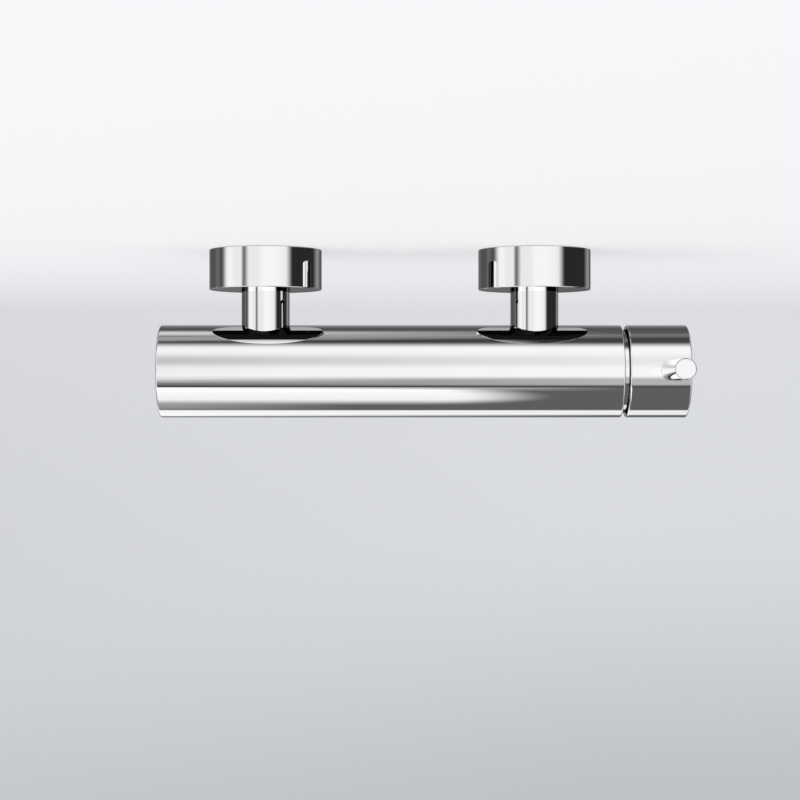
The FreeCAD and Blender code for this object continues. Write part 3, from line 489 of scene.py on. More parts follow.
@dataclass(frozen=True)
class TurnedBrass(Finish):
    """Bare brass from the lathe: warm, half bright, with fine tool rings about its axis."""

    axis: Axis
    tones: Tones = ("A98748", "CFAE6B")
    noises: Noises = ((Use.TONE, Noise(7.0, 4.0)),)
    rings: Noise = Noise(0.5, 2.0)
    rough: Range = (0.22, 0.38)
    metallic: float = 1.0
    relief: Range = (0.25, 0.02)

    @property
    def name(self) -> str:
        """The material's name, with the axis of its tool rings."""
        return f"turned_brass_{self.axis.name.lower()}"

    def patterns(self, add: Adder, place: Output) -> Drive:
        """Stains for the tone, and tool rings for the gloss and the relief."""
        split = add("SeparateXYZ", {}, {"Vector": place})
        # Tool rings change only along the axis, so they run round the piece; they are drawn a little coarse.
        along = (split, self.axis.value)
        rings = add("TexNoise", {"noise_dimensions": "1D"}, self.rings.inputs(along, "W"))
        return {**super().patterns(add, place), Use.GLOSS: rings, Use.RELIEF: rings}


@dataclass(frozen=True)
class MouldedAcetal(Finish):
    """Moulded acetal plastic: off-white, waxy, with a fine spark-eroded grain."""

    name: str = "moulded_acetal"
    tones: Tones = ("DAD6C9", "E7E4DA")
    # Flow marks of the melt are wide, soft changes of tone, and the grain breaks up the shine.
    noises: Noises = ((Use.TONE, Noise(12.0, 2.0, 1.2)), (Use.RELIEF, Noise(0.35, 2.0)))
    rough: Range = (0.42,)
    ior: float = 1.48
    relief: Range = (0.2, 0.03)


@dataclass(frozen=True)
class LappedCeramic(Finish):
    """Lapped alumina: ivory, dense, with faces that are nearly mirrors and faintly speckled."""

    name: str = "lapped_alumina"
    tones: Tones = ("F1ECDD", "E3DCC8")
    speck: float = 0.6
    rough: Range = (0.10, 0.20)
    ior: float = 1.76

    def patterns(self, add: Adder, place: Output) -> Drive:
        """Specks for the tone and the gloss."""
        # Grains of the sintered body show as fine specks, in tone and in gloss.
        specks = add("TexVoronoi", {}, {"Vector": place, "Scale": per_metre(self.speck)})
        return {Use.TONE: specks, Use.GLOSS: specks}


@dataclass(frozen=True)
class DrawnSteel(Finish):
    """Drawn stainless steel: grey and satin, with fine lines of the die along the bar."""

    axis: Axis
    tones: Tones = ("97999B", "B9BBBD")
    line_width: float = 0.25
    line_length: float = 14.0
    line_detail: float = 2.0
    rough: Range = (0.20, 0.36)
    metallic: float = 1.0

    @property
    def name(self) -> str:
        """The material's name, with the axis of its lines."""
        return f"drawn_stainless_steel_{self.axis.name.lower()}"

    def patterns(self, add: Adder, place: Output) -> Drive:
        """Die lines for the tone and the gloss."""
        scales = [per_metre(self.line_width)] * 3
        scales[self.axis.value] = per_metre(self.line_length)
        # A noise that is drawn out along the axis gives the die lines.
        stretch = add("Mapping", {}, {"Vector": place, "Scale": Vector(scales)})
        lines = add("TexNoise", {}, {"Vector": stretch, "Scale": 1.0, "Detail": self.line_detail})
        return {Use.TONE: lines, Use.GLOSS: lines}


@dataclass(frozen=True)
class MouldedRubber(Finish):
    """Moulded EPDM rubber: soft black, matt, with a dusty bloom."""

    name: str = "moulded_epdm_rubber"
    tones: Tones = ("1B1B1D", "2B2B2E")
    # Bloom lightens the rubber in soft patches, and a fine grain keeps it matt.
    noises: Noises = ((Use.TONE, Noise(3.0, 4.0)), (Use.RELIEF, Noise(0.3, 2.0)))
    rough: Range = (0.68,)
    ior: float = 1.52
    relief: Range = (0.3, 0.03)


class Wardrobe:
    """Keeps one material for each finish."""

    def __init__(self) -> None:
        """Start with no materials made."""
        self._made: dict[Finish, bpy.types.Material] = {}

    def material(self, finish: Finish) -> bpy.types.Material:
        """The material of a finish, made when it is first asked for."""
        if finish not in self._made:
            self._made[finish] = finish.build()
        return self._made[finish]

    def dress(self, piece: Piece, finish: Finish) -> None:
        """Give a piece one finish all over."""
        piece.data.materials.clear()
        piece.data.materials.append(self.material(finish))

    def place(self, piece: Piece, finish: Finish, body: Body, slot: Slot, node: str) -> None:
        """Finish a new piece: polish and dress it, and set it on its body in place of a CAD node."""
        polish(piece)
        self.dress(piece, finish)
        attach(piece, body.value)
        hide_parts(node)
        LOG.info("%s: %d faces", piece.name, len(piece.data.polygons))


def paired(*kinds: str) -> tuple[str, ...]:
    """The names of the hot and cold nodes of each kind."""
    return tuple(f"{side}_{kind}" for side in ("hot", "cold") for kind in kinds)


@dataclass
class BodyTube:
    """The chromed tube with its holes, its end cap and its collar ring, in millimetres."""

    wall: float = 2.2
    edge_round: float = 1.0
    fit: float = 0.05
    cap_plate: float = 3.0
    cap_chamfer: float = 0.3
    groove: float = 1.7
    cap_skirt: float = 3.0
    ring_wall: float = 1.3
    ring_flange: float = 3.0
    ring_plate: float = 1.6
    ring_hole: float = 13.5
    ring_round: float = 0.6
    spigot_wall: float = 2.4

    def __post_init__(self) -> None:
        """Read the tube's place from the frame."""
        self.place = Place.of("body_tube")
        self.spindle = self.place.spindle(Axis.X)
        self.radius = self.place.half(Axis.Z)
        self.bore = self.radius - self.wall * MM

    def build_tube(self) -> Piece:
        """The tube, drilled for both necks and for the outlet."""
        left, right = self.place.low.x, self.place.high.x
        tube = turn_piece("chromed_tube", self.spindle, [
            (left, self.radius), (right, self.radius), (right, self.bore), (left, self.bore),
            (left, self.radius)])
        round_rims(tube, self.spindle, self.edge_round * MM, (left, self.radius), (right, self.radius))
        for node in paired("neck"):
            neck = Place.of(node)
            radius = neck.half(Axis.X) + self.fit * MM
            drill(tube, neck.spindle(Axis.Y), radius, self.spindle.through.y, neck.high.y)
        outlet = Place.of("outlet_o_ring").spindle(Axis.Z)
        reach = Place.of("outlet_nipple").half(Axis.X) + self.fit * MM
        drill(tube, outlet, reach, self.spindle.through.z, self.place.low.z - self.wall * MM)
        return tube

    def build_cap(self) -> Piece:
        """The end cap: a plate with a chamfered rim, an O-ring groove and a skirt."""
        place = Place.of("end_cap")
        front, back = place.low.x, place.high.x
        radius = place.half(Axis.Z)
        groove = radius - self.groove * MM
        skirt = groove - self.cap_skirt * MM
        plate = front + self.cap_plate * MM
        chamfer = self.cap_chamfer * MM
        return turn_piece("chromed_end_cap", self.spindle, [
            (front, radius - chamfer), (front + chamfer, radius), (plate, radius), (plate, groove),
            (plate + self.groove * MM, groove), (plate + self.groove * MM, radius), (back, radius),
            (back, skirt), (plate, skirt)])

    def build_ring(self) -> Piece:
        """The collar ring that shows in the gap before the handle."""
        place = Place.of("collar_ring")
        foot, front = place.low.x, place.high.x
        flange = place.half(Axis.Z)
        flange_end = foot + self.ring_flange * MM
        hole = self.ring_hole * MM
        plate = front - self.ring_plate * MM
        spigot = Place.of("cartridge_nut").half(Axis.Z) + self.spigot_wall * MM
        radius = spigot + self.ring_wall * MM
        ring = turn_piece("chromed_collar_ring", self.spindle, [
            (foot, spigot), (foot, flange), (flange_end, flange), (flange_end, radius), (front, radius),
            (front, hole), (plate, hole), (plate, spigot), (foot, spigot)])
        round_rims(ring, self.spindle, self.ring_round * MM, (front, radius))
        return ring

    def dress(self, wardrobe: Wardrobe) -> None:
        """Build all pieces of the tube, chromed."""
        for build, node in ((self.build_tube, "body_tube"), (self.build_cap, "end_cap"),
                            (self.build_ring, "collar_ring")):
            wardrobe.place(build(), ChromePlate(), Body.MIXER, Slot.CHROME, node)


@dataclass
class Inlets:
    """The two wall inlets: rosette, neck and wall union, modelled on the hot side, in millimetres."""

    rosette_wall: float = 1.8
    rosette_front: float = 3.2
    rosette_round: float = 0.5
    wall_round: float = 0.25
    rosette_gap: float = 0.25
    neck_wall: float = 3.05
    groove: float = 1.7
    seal_gap: float = 0.1
    collar_length: float = 3.5
    collar_flats: float = 31.0
    stud_dia: float = 20.955
    stud_bore: float = 6.5
    union_bore: float = 8.5
    union_thread: float = 13.22
    lead_in: float = 0.8
    overlap: float = 0.4

    def __post_init__(self) -> None:
        """Read the inlets' places from the frame."""
        self.neck = Place.of("hot_neck")
        self.spindle = self.neck.spindle(Axis.Y)
        self.neck_radius = self.neck.half(Axis.X)
        self.across = Place.of("cold_neck").low - self.neck.low

    def build_rosette(self) -> Piece:
        """The deep rosette: an open cup with a hole for the neck and a groove for its O-ring."""
        place, ring = Place.of("hot_rosette"), Place.of("hot_rosette_o_ring")
        front, back = place.low.y, place.high.y
        radius = place.half(Axis.X)
        inner = radius - self.rosette_wall * MM
        hole = self.neck_radius + self.rosette_gap * MM
        floor = front + self.rosette_front * MM
        grip = (ring.low.y + ring.high.y) / 2
        half = self.groove * MM / 2
        seat = self.neck_radius + self.groove * MM
        rosette = turn_piece("hot_chromed_rosette", self.spindle, [
            (back, inner), (back, radius), (front, radius), (front, hole), (grip - half, hole),
            (grip - half, seat), (grip + half, seat), (grip + half, hole), (floor, hole), (floor, inner),
            (back, inner)])
        round_rims(rosette, self.spindle, self.rosette_round * MM, (front, radius))
        round_rims(rosette, self.spindle, self.wall_round * MM, (back, radius))
        return rosette

    def build_neck(self) -> Piece:
        """The plain neck from the rosette into the tube, with the seat of the tail's O-ring."""
        front, back = self.neck.low.y, self.neck.high.y
        radius = self.neck_radius
        bore = radius - self.neck_wall * MM
        seat = Place.of("hot_tail_o_ring").half(Axis.X) + self.seal_gap * MM
        groove = front + self.groove * MM
        return turn_piece("hot_chromed_neck", self.spindle, [
            (back, bore), (back, radius), (front, radius), (front, seat), (groove, seat), (groove, bore),
            (back, bore)])

    def build_union(self) -> Piece:
        """The eccentric wall union: a threaded stud, a collar with spanner flats, and a spout for the nut."""
        place = Place.of("hot_wall_union")
        low, high = place.low, place.high
        middle_x = self.spindle.through.x
        overlap = self.overlap * MM
        collar_end = -self.collar_length * MM
        collar_line = Spindle(Axis.Y, Vector((middle_x, 0, (low.z + high.z) / 2)))
        collar_radius = place.half(Axis.Z)
        stud_line = Spindle(Axis.Y, Vector((middle_x, 0, 0)))
        union = self.build_stud(stud_line, high.y)
        collar = turn_piece(
            "collar", collar_line, [(0, collar_radius), (collar_end, collar_radius)], THREAD_STEPS)
        self.cut_flats(collar, middle_x)
        drill(collar, stud_line, self.stud_bore * MM, high.y, collar_end / 2 - overlap)
        drill(collar, self.spindle, self.union_bore * MM, low.y, collar_end / 2 + overlap)
        combine(union, collar, "UNION")
        combine(union, self.build_spout(collar_end + overlap, low.y), "UNION")
        return union

    def build_stud(self, line: Spindle, tip: float) -> Piece:
        """The hollow stud with its pipe thread, from just inside the collar to its tip."""
        thread = PipeThread()
        radius = self.stud_dia / 2 * MM
        bore = self.stud_bore * MM
        lead = self.lead_in * MM
        foot = -self.overlap * MM
        stud = turn_piece("hot_brass_wall_union", line, [
            (foot, bore), (foot, radius), *thread.corners(radius, 0, tip - lead), (tip, radius - lead),
            (tip, bore), (foot, bore)], THREAD_STEPS)
        thread.cut(stud, line, radius, 0, tip - lead)
        return stud

    def build_spout(self, foot: float, tip: float) -> Piece:
        """The hollow spout that the union nut screws on, from its foot to its tip."""
        radius = self.union_thread * MM
        bore = self.union_bore * MM
        lead = self.lead_in * MM
        return turn_piece("spout", self.spindle, [
            (foot, bore), (foot, radius), (tip + lead, radius), (tip, radius - lead), (tip, bore),
            (foot, bore)], THREAD_STEPS)

    def cut_flats(self, collar: Piece, middle_x: float) -> None:
        """Cut the two spanner flats of a collar."""
        for way in (-1, 1):
            work_on(collar)
            with editing():
                bpy.ops.mesh.bisect(
                    plane_co=(middle_x + way * self.collar_flats * MM / 2, 0, 0), plane_no=(way, 0, 0),
                    use_fill=True, clear_outer=True)

    def dress(self, wardrobe: Wardrobe) -> None:
        """Build the hot inlet, chromed with a brass union in the wall, and copy it to the cold side."""
        brass = TurnedBrass(Axis.Y)
        for build, finish, slot, part in (
                (self.build_rosette, ChromePlate(), Slot.CHROME, "rosette"),
                (self.build_neck, ChromePlate(), Slot.CHROME, "neck"),
                (self.build_union, brass, Slot.BRASS, "wall_union")):
            hot = build()
            cold = twin(hot, hot.name.replace("hot", "cold"), self.across)
            for piece, node in zip((hot, cold), paired(part)):
                wardrobe.place(piece, finish, Body.MIXER, slot, node)
                # The wall hides the unions from every mirror in front of it.
                piece.visible_glossy = finish is not brass


@dataclass
class Outlet:
    """The threaded outlet nipple underneath and the spring of its check valve, in millimetres."""

    thread_length: float = 13.0
    lead_in: float = 0.8
    flow: float = 6.0
    check_bore: float = 7.6
    nipple: float = 10.0
    groove: float = 1.7
    shoulder_step: float = 2.0
    wire: float = 0.5
    coils: int = 5
    lift: float = 2.5

    def build_nipple(self) -> Piece:
        """The nipple, with its shoulder, its thread and the bore of the check valve."""
        place, ring = Place.of("outlet_nipple"), Place.of("outlet_o_ring")
        tip, top = place.low.z, place.high.z
        line = place.spindle(Axis.Z)
        thread = PipeThread()
        shoulder = place.half(Axis.X)
        outside = shoulder - self.shoulder_step * MM
        thread_top = tip + self.thread_length * MM
        lead = self.lead_in * MM
        groove = (ring.low.z + ring.high.z) / 2
        half = self.groove * MM / 2
        valve_top = Place.of("check_seat").high.z
        flow, bore, radius = self.flow * MM, self.check_bore * MM, self.nipple * MM
        seat = radius + self.groove * MM
        piece = turn_piece("chromed_outlet_nipple", line, [
            (top, flow), (top, radius), (groove - half, radius), (groove - half, seat), (groove + half, seat),
            (groove + half, shoulder), (thread_top, shoulder),
            *thread.corners(outside, thread_top, tip + lead), (tip, outside - lead), (tip, bore),
            (valve_top, bore), (valve_top, flow), (top, flow)], THREAD_STEPS)
        thread.cut(piece, line, outside, tip + lead, thread_top)
        return piece

    def build_spring(self) -> Piece:
        """The spring: a section of its wire, screwed up coil by coil and closed at both ends."""
        place = Place.of("check_spring")
        low, high = place.low, place.high
        half = self.wire / 2 * MM
        rise = (high.z - low.z - 2 * half) / self.coils
        bpy.ops.object.select_all(action="DESELECT")
        start = (place.half(Axis.X) - half, 0, 0)
        bpy.ops.mesh.primitive_circle_add(
            vertices=WIRE_STEPS, radius=half, location=start, rotation=Axis.Y.lean)
        spring = bpy.context.active_object
        spring.name = spring.data.name = "steel_check_spring"
        bpy.ops.object.transform_apply()
        apply_modifier(spring, "SCREW", axis="Z", screw_offset=rise, iterations=self.coils, steps=COIL_STEPS,
                       render_steps=COIL_STEPS)
        close_piece()
        bpy.ops.transform.translate(value=((low.x + high.x) / 2, (low.y + high.y) / 2, low.z + half))
        bpy.ops.object.transform_apply()
        return spring

    def dress(self, wardrobe: Wardrobe) -> None:
        """Build the nipple, chromed, and the steel spring, which gets a mesh of its own."""
        wardrobe.place(self.build_nipple(), ChromePlate(), Body.MIXER, Slot.CHROME, "outlet_nipple")
        spring = self.build_spring()
        wardrobe.place(spring, DrawnSteel(Axis.Z), Body.MIXER, Slot.STEEL, "check_spring")
        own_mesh(spring)


@dataclass
class Handle:
    """The handle cap and its pin lever, in millimetres."""

    edge_round: float = 1.0
    mouth_round: float = 1.0
    mouth_rim: float = 1.05
    mouth_chamfer: float = 0.75
    mouth_wall: float = 1.8
    inner_wall: float = 4.2
    mouth_depth: float = 11.5
    plate: float = 2.6
    boss_wall: float = 2.4
    boss_length: float = 6.0
    fit: float = 0.05
    pin_seat: float = 1.5
    pin_round: float = 0.9
    stud_dia: float = 6.0

    def __post_init__(self) -> None:
        """Read the handle's place from the frame."""
        self.cap, self.pin = Place.of("handle_cap"), Place.of("lever_pin")
        self.spindle = self.cap.spindle(Axis.X)
        self.radius = self.cap.half(Axis.Z)
        self.pin_line = self.pin.spindle(Axis.Z)
        self.pin_radius = self.pin.half(Axis.X)
        self.pin_base = self.spindle.through.z + self.radius - self.pin_seat * MM
        self.stud_radius = self.stud_dia / 2 * MM

    def build_cap(self) -> Piece:
        """The cap: a cup whose mouth goes over the collar ring, with a ring inside that holds the hub."""
        mouth, end = self.cap.low.x, self.cap.high.x
        floor = end - self.plate * MM
        step = mouth + self.mouth_depth * MM
        wide = self.radius - self.mouth_wall * MM
        inner = self.radius - self.inner_wall * MM
        boss_in = Place.of("handle_hub").half(Axis.Z) + self.fit * MM
        boss_out = boss_in + self.boss_wall * MM
        boss = floor - self.boss_length * MM
        cap = turn_piece("chromed_handle_cap", self.spindle, [
            (end, self.radius), (mouth, self.radius), (mouth, self.radius - self.mouth_rim * MM),
            (mouth + self.mouth_chamfer * MM, wide), (step, wide), (step, inner), (floor, inner),
            (floor, boss_out), (boss, boss_out), (boss, boss_in), (floor, boss_in)])
        round_rims(cap, self.spindle, self.edge_round * MM, (end, self.radius))
        round_rims(cap, self.spindle, self.mouth_round * MM, (mouth, self.radius))
        middle, tip = self.spindle.through.z, self.pin.high.z
        for radius, start, stop in (
                (self.pin_radius, self.pin_base, tip), (self.stud_radius, middle, tip),
                (Place.of("grub_screw").half(Axis.X), middle, self.cap.low.z - self.plate * MM)):
            drill(cap, self.pin_line, radius + self.fit * MM, start, stop)
        return cap

    def build_pin(self) -> Piece:
        """The pin lever: a plain round bar with a softened tip and a stud in the hub."""
        tip = self.pin.high.z
        pin = turn_piece("chromed_lever_pin", self.pin_line, [
            (self.pin.low.z, self.stud_radius), (self.pin_base, self.stud_radius),
            (self.pin_base, self.pin_radius), (tip, self.pin_radius)])
        round_rims(pin, self.pin_line, self.pin_round * MM, (tip, self.pin_radius))
        return pin

    def dress(self, wardrobe: Wardrobe) -> None:
        """Build cap and pin, chromed, on the lever."""
        wardrobe.place(self.build_cap(), ChromePlate(), Body.LEVER, Slot.CHROME, "handle_cap")
        wardrobe.place(self.build_pin(), ChromePlate(), Body.LEVER, Slot.CHROME, "lever_pin")


@dataclass(frozen=True)
class InnerWorks:
    """The CAD nodes that stay as they are, in groups with one finish each."""

    groups: tuple[tuple[Finish, tuple[str, ...]], ...] = (
        (TurnedBrass(Axis.X), ("valve_manifold", "cartridge_nut", "handle_hub")),
        (TurnedBrass(Axis.Y), paired("inlet_tail", "union_nut")),
        (MouldedAcetal(), ("cartridge_housing", "cartridge_base", "turret", "disc_carrier", "check_cage",
                           "check_seat", "check_poppet")),
        (LappedCeramic(), ("fixed_disc", "moving_disc")),
        (DrawnSteel(Axis.X), ("lever_stem",)),
        (DrawnSteel(Axis.Y), ("pivot_pin",)),
        (DrawnSteel(Axis.Z), ("grub_screw",)),
        (MouldedRubber(), ("end_cap_o_ring", "base_seals", "outlet_o_ring")),
        (MouldedRubber(), paired("tail_o_ring", "rosette_o_ring", "inlet_gasket")))

    def dress(self, wardrobe: Wardrobe, nodes: dict[str, Piece]) -> None:
        """Give each node its finish."""
        for finish, names in self.groups:
            for name in names:
                wardrobe.dress(nodes[name], finish)
                LOG.info("%s: %s", name, finish.name)


@dataclass(frozen=True)
class Card:
    """A lit card or, below zero, a dark flag, that stands around the object.

    It starts, is full, fades and ends at these degrees from overhead. Its level may change from the left of
    the object to another one further right, and it may slant by so many degrees.
    """

    start: float
    full: float
    fade: float
    end: float
    level: float
    right: float | None = None
    slant: float = 0.0
    reach: float = 0.115


@dataclass(frozen=True)
class Studio:
    """The light around the object: a plain level for matt surfaces, and cards that polished metal mirrors.

    The front cards stand in the plane from the wall (below zero) over the top to the front (above zero), and
    the side cards in the plane from the left (below zero) to the right. The tongue cards stand in front and
    end at the right in a rounded tip. Fills that are lighter above stand to the left and right, with a narrow
    slot between. A second mirror shows it all with more contrast, but weaker below the horizon, and a third
    one hardly.
    """

    plain: float = 0.86
    backdrop: float = 0.91
    dim: float = 0.1
    contrast: float = 1.35
    low_share: float = 0.45
    low_from: float = -0.3
    low_full: float = -0.55
    lost: float = 0.012
    front_base: float = 0.065
    front_cards: tuple[Card, ...] = (
        Card(-78, -58, 11, 27, 1.05, 1.085), Card(-50, -27, -24, -2, -0.42, -0.16),
        Card(17, 27, 32, 39.5, 0.16, 0.5), Card(14, 20, 24, 33, 0.33, 0.0, reach=0.02),
        Card(38.5, 43, 110, 114, 0.07), Card(-124, -111, -107, -92, 0.68, 0.02),
        Card(-104, -97, -91.5, -81.5, 0.34, 0.11, 46.0), Card(111.5, 118, 134, 150, 1.07, 0.98),
        Card(134, 146, 148, 158, 0.85, 0.0), Card(-200, -190, -164, -128, 0.28),
        Card(150, 165, 166, 184, 0.2), Card(-140, -130, -122, -84, 0.035),
        Card(40.3, 42.5, 43, 53, 1.15, 0.0, reach=0.122))
    tongue_cards: tuple[Card, ...] = (
        Card(44, 49.5, 72, 96, 0.97), Card(41, 46, 52, 74, 0.08),
        Card(82, 95, 96, 125, 0.24, 0.0, reach=-0.025))
    tongue_tip: float = 0.058
    tongue_middle: float = 67.0
    tongue_curve: float = 4.7e-5
    tongue_soft: float = 0.028
    side_base: float = 0.025
    side_cards: tuple[Card, ...] = (
        Card(-98, -79, 43.5, 61, 0.985), Card(-85, -78, -72, -60, 0.1), Card(-14, 2, 14, 60, 0.13),
        Card(-48.5, -41.6, -40.6, -29, -0.8), Card(-200, -190, -99, -90, 0.07),
        Card(-125, -114, -109, -101, 0.06), Card(-200, -190, -160, -138, 0.06),
        Card(116, 137, 139, 153, 0.285), Card(140, 152, 190, 200, 0.085))
    fill: tuple[float, float] = (0.22, 0.78)
    fill_low: float = -0.45
    fill_high: float = 0.55
    fill_from: float = 0.2
    fill_full: float = 0.45
    slot_middle: float = 0.0625
    slot_half: float = 0.03
    slot_soft: float = 0.065
    spread_left: float = -0.12
    side_from: float = 0.68
    side_full: float = 0.93
    lamp_size: float = 2.0
    lamp_power: float = 12.0
    lamp_place: tuple[float, float, float] = (-0.7, -1.4, 1.3)

    def build(self) -> None:
        """Make the world and the lamp."""
        world = bpy.data.worlds.new("studio")
        world.use_nodes = True
        bpy.context.scene.world = world
        world.node_tree.nodes.clear()
        add = partial(add_node, world.node_tree)
        way = add("TexCoord")
        split = add("SeparateXYZ", {}, {"Vector": (way, "Generated")})
        ray = add("LightPath")
        mirrored = self.by_depth(add, split, ray, self.around(add, split, ray))
        # A mirror that a matt surface sees gives it the plain level too.
        direct = add("Math", BELOW, [(ray, "Diffuse Depth"), NONE_YET])
        polished = add("Math", TIMES, [(ray, "Is Glossy Ray"), direct])
        seen = add("Mix", NUMBERS, {FACTOR: polished, LEVEL_A: self.plain, LEVEL_B: mirrored})
        level = add("Mix", NUMBERS, {FACTOR: (ray, "Is Camera Ray"), LEVEL_A: seen, LEVEL_B: self.backdrop})
        light = add("Background", {}, {"Color": linear("FFFFFF"), "Strength": level})
        add("OutputWorld", {}, {"Surface": light})
        self.build_lamp()

    def around(self, add: Adder, split: Node, ray: Node) -> Output:
        """What stands around the object: the cards of both planes, or a fill where that is lighter.

        Args:
            add: the function that adds a node to the world.
            split: the node that splits the direction into its parts.
            ray: the node that tells what a ray has met.

        Returns:
            The output that gives the level in each direction.
        """
        forward = add("Math", TIMES, [(split, "Y"), -1.0])
        front = self.degrees(add, forward, (split, "Z"))
        aside = self.degrees(add, (split, "X"), (split, "Z"))
        tongue = add("Math", TIMES, [
            self.sum_of(add, self.tongue_cards, front, split, 0.0), self.tongue(add, front, split)])
        ahead = add("Math", {"operation": "ADD"}, [
            self.sum_of(add, self.front_cards, front, split, self.front_base), tongue])
        beside = self.sum_of(add, self.side_cards, aside, split, self.side_base)
        flat = add("CombineXYZ", {}, {"X": (split, "X"), "Y": (split, "Y")})
        spread = add("VectorMath", LENGTH, [flat])
        sideways = add("Math", AMOUNT, [(split, "X")])
        share = add("Math", {"operation": "DIVIDE"}, [sideways, (spread, "Value")])
        weight = add("MapRange", SMOOTH, {
            "Value": share, "From Min": self.side_from, "From Max": self.side_full})
        cards = add("Mix", NUMBERS, {FACTOR: weight, LEVEL_A: ahead, LEVEL_B: beside})
        return add("Math", LARGER, [cards, self.fills(add, split, sideways, ray)])

    def by_depth(self, add: Adder, split: Node, ray: Node, level: Output) -> Output:
        """What a mirror keeps of a level: a second one shows it with more contrast, and a third one hardly.

        Args:
            add: the function that adds a node to the world.
            split: the node that splits the direction into its parts.
            ray: the node that tells how many mirrors a ray has met.
            level: the output that gives the level in each direction.

        Returns:
            The output that gives the level as it is seen.
        """
        depth = (ray, "Glossy Depth")
        taken = add("MapRange", {}, {
            "Value": depth, "From Min": FIRST, "From Max": SECOND, "To Max": self.dim})
        left = add("Math", MINUS, [level, taken])
        bright = add("Math", LARGER, [left, 0.0])
        second = add("MapRange", SMOOTH, {
            "Value": (split, "Z"), "From Min": self.low_full, "From Max": self.low_from,
            "To Min": self.contrast * self.low_share, "To Max": self.contrast})
        gain = add("MapRange", {}, {
            "Value": depth, "From Min": FIRST, "From Max": SECOND, "To Min": 1.0, "To Max": second})
        raised = add("Math", TIMES, [bright, gain])
        kept = add("MapRange", {}, {
            "Value": depth, "From Min": SECOND, "From Max": THIRD, "To Min": 1.0, "To Max": self.lost})
        return add("Math", TIMES, [raised, kept])

    @staticmethod
    def degrees(add: Adder, across: Output, up: Output) -> Output:
        """The turn from overhead, in degrees, of a direction with these two parts."""
        turn = add("Math", {"operation": "ARCTAN2"}, [across, up])
        return add("Math", {"operation": "DEGREES"}, [turn])

    def fills(self, add: Adder, split: Node, sideways: Output, ray: Node) -> Output:
        """The level of the fills to the left and right, which only a first mirror shows."""
        off = add("Math", MINUS, [(split, "Y"), self.slot_middle])
        apart = add("Math", AMOUNT, [off])
        graded = add("MapRange", SMOOTH, {
            "Value": (split, "Z"), "From Min": self.fill_low, "From Max": self.fill_high,
            "To Min": self.fill[0], "To Max": self.fill[1]})
        level = add("MapRange", SMOOTH, {
            "Value": apart, "From Min": self.slot_half, "From Max": self.slot_half + self.slot_soft,
            "To Max": graded})
        beside = add("MapRange", SMOOTH, {
            "Value": sideways, "From Min": self.fill_from, "From Max": self.fill_full, "To Max": level})
        first = add("Math", BELOW, [(ray, "Glossy Depth"), ONE_AT_MOST])
        return add("Math", TIMES, [beside, first])

    def tongue(self, add: Adder, turn: Output, split: Node) -> Output:
        """The share of the tongue cards, which ends at the right in a rounded soft tip."""
        off = add("Math", MINUS, [turn, self.tongue_middle])
        square = add("Math", TIMES, [off, off])
        reach = add("Math", TIMES_PLUS, [square, self.tongue_curve, (split, "X")])
        return add("MapRange", SMOOTH, {
            "Value": reach, "From Min": self.tongue_tip - self.tongue_soft,
            "From Max": self.tongue_tip + self.tongue_soft, "To Min": 1.0, "To Max": 0.0})

    def sum_of(self, add: Adder, cards: tuple[Card, ...], turn: Output, split: Node,
               start: float) -> Output | float:
        """Add up the cards that stand in one plane.

        Args:
            add: the function that adds a node to the world.
            cards: the cards.
            turn: the output that gives the direction's turn in that plane.
            split: the node that splits the direction into its parts.
            start: the level without any card.

        Returns:
            The output that gives the level.
        """
        total: Output | float = start
        for card in cards:
            place, level = turn, card.level
            if card.slant:
                place = add("Math", TIMES_PLUS, [(split, "X"), card.slant, turn])
            if card.right is not None:
                level = add("MapRange", {}, {
                    "Value": (split, "X"), "From Min": self.spread_left, "From Max": card.reach,
                    "To Min": card.level, "To Max": card.right})
            rise = add("MapRange", SMOOTH, {
                "Value": place, "From Min": card.start, "From Max": card.full, "To Max": level})
            fall = add("MapRange", SMOOTH, {
                "Value": place, "From Min": card.fade, "From Max": card.end, "To Min": 1.0, "To Max": 0.0})
            total = add("Math", TIMES_PLUS, [rise, fall, total])
        return total

    def build_lamp(self) -> None:
        """One large soft lamp from above, in front and on the left, which mirrors don't show."""
        light = bpy.data.lights.new("soft_lamp", "AREA")
        light.size = self.lamp_size
        light.energy = self.lamp_power
        lamp = bpy.data.objects.new("soft_lamp", light)
        lamp.location = self.lamp_place
        lamp.rotation_euler = (-Vector(self.lamp_place)).to_track_quat("-Z", "Y").to_euler()
        lamp.visible_glossy = False
        bpy.context.scene.collection.objects.link(lamp)


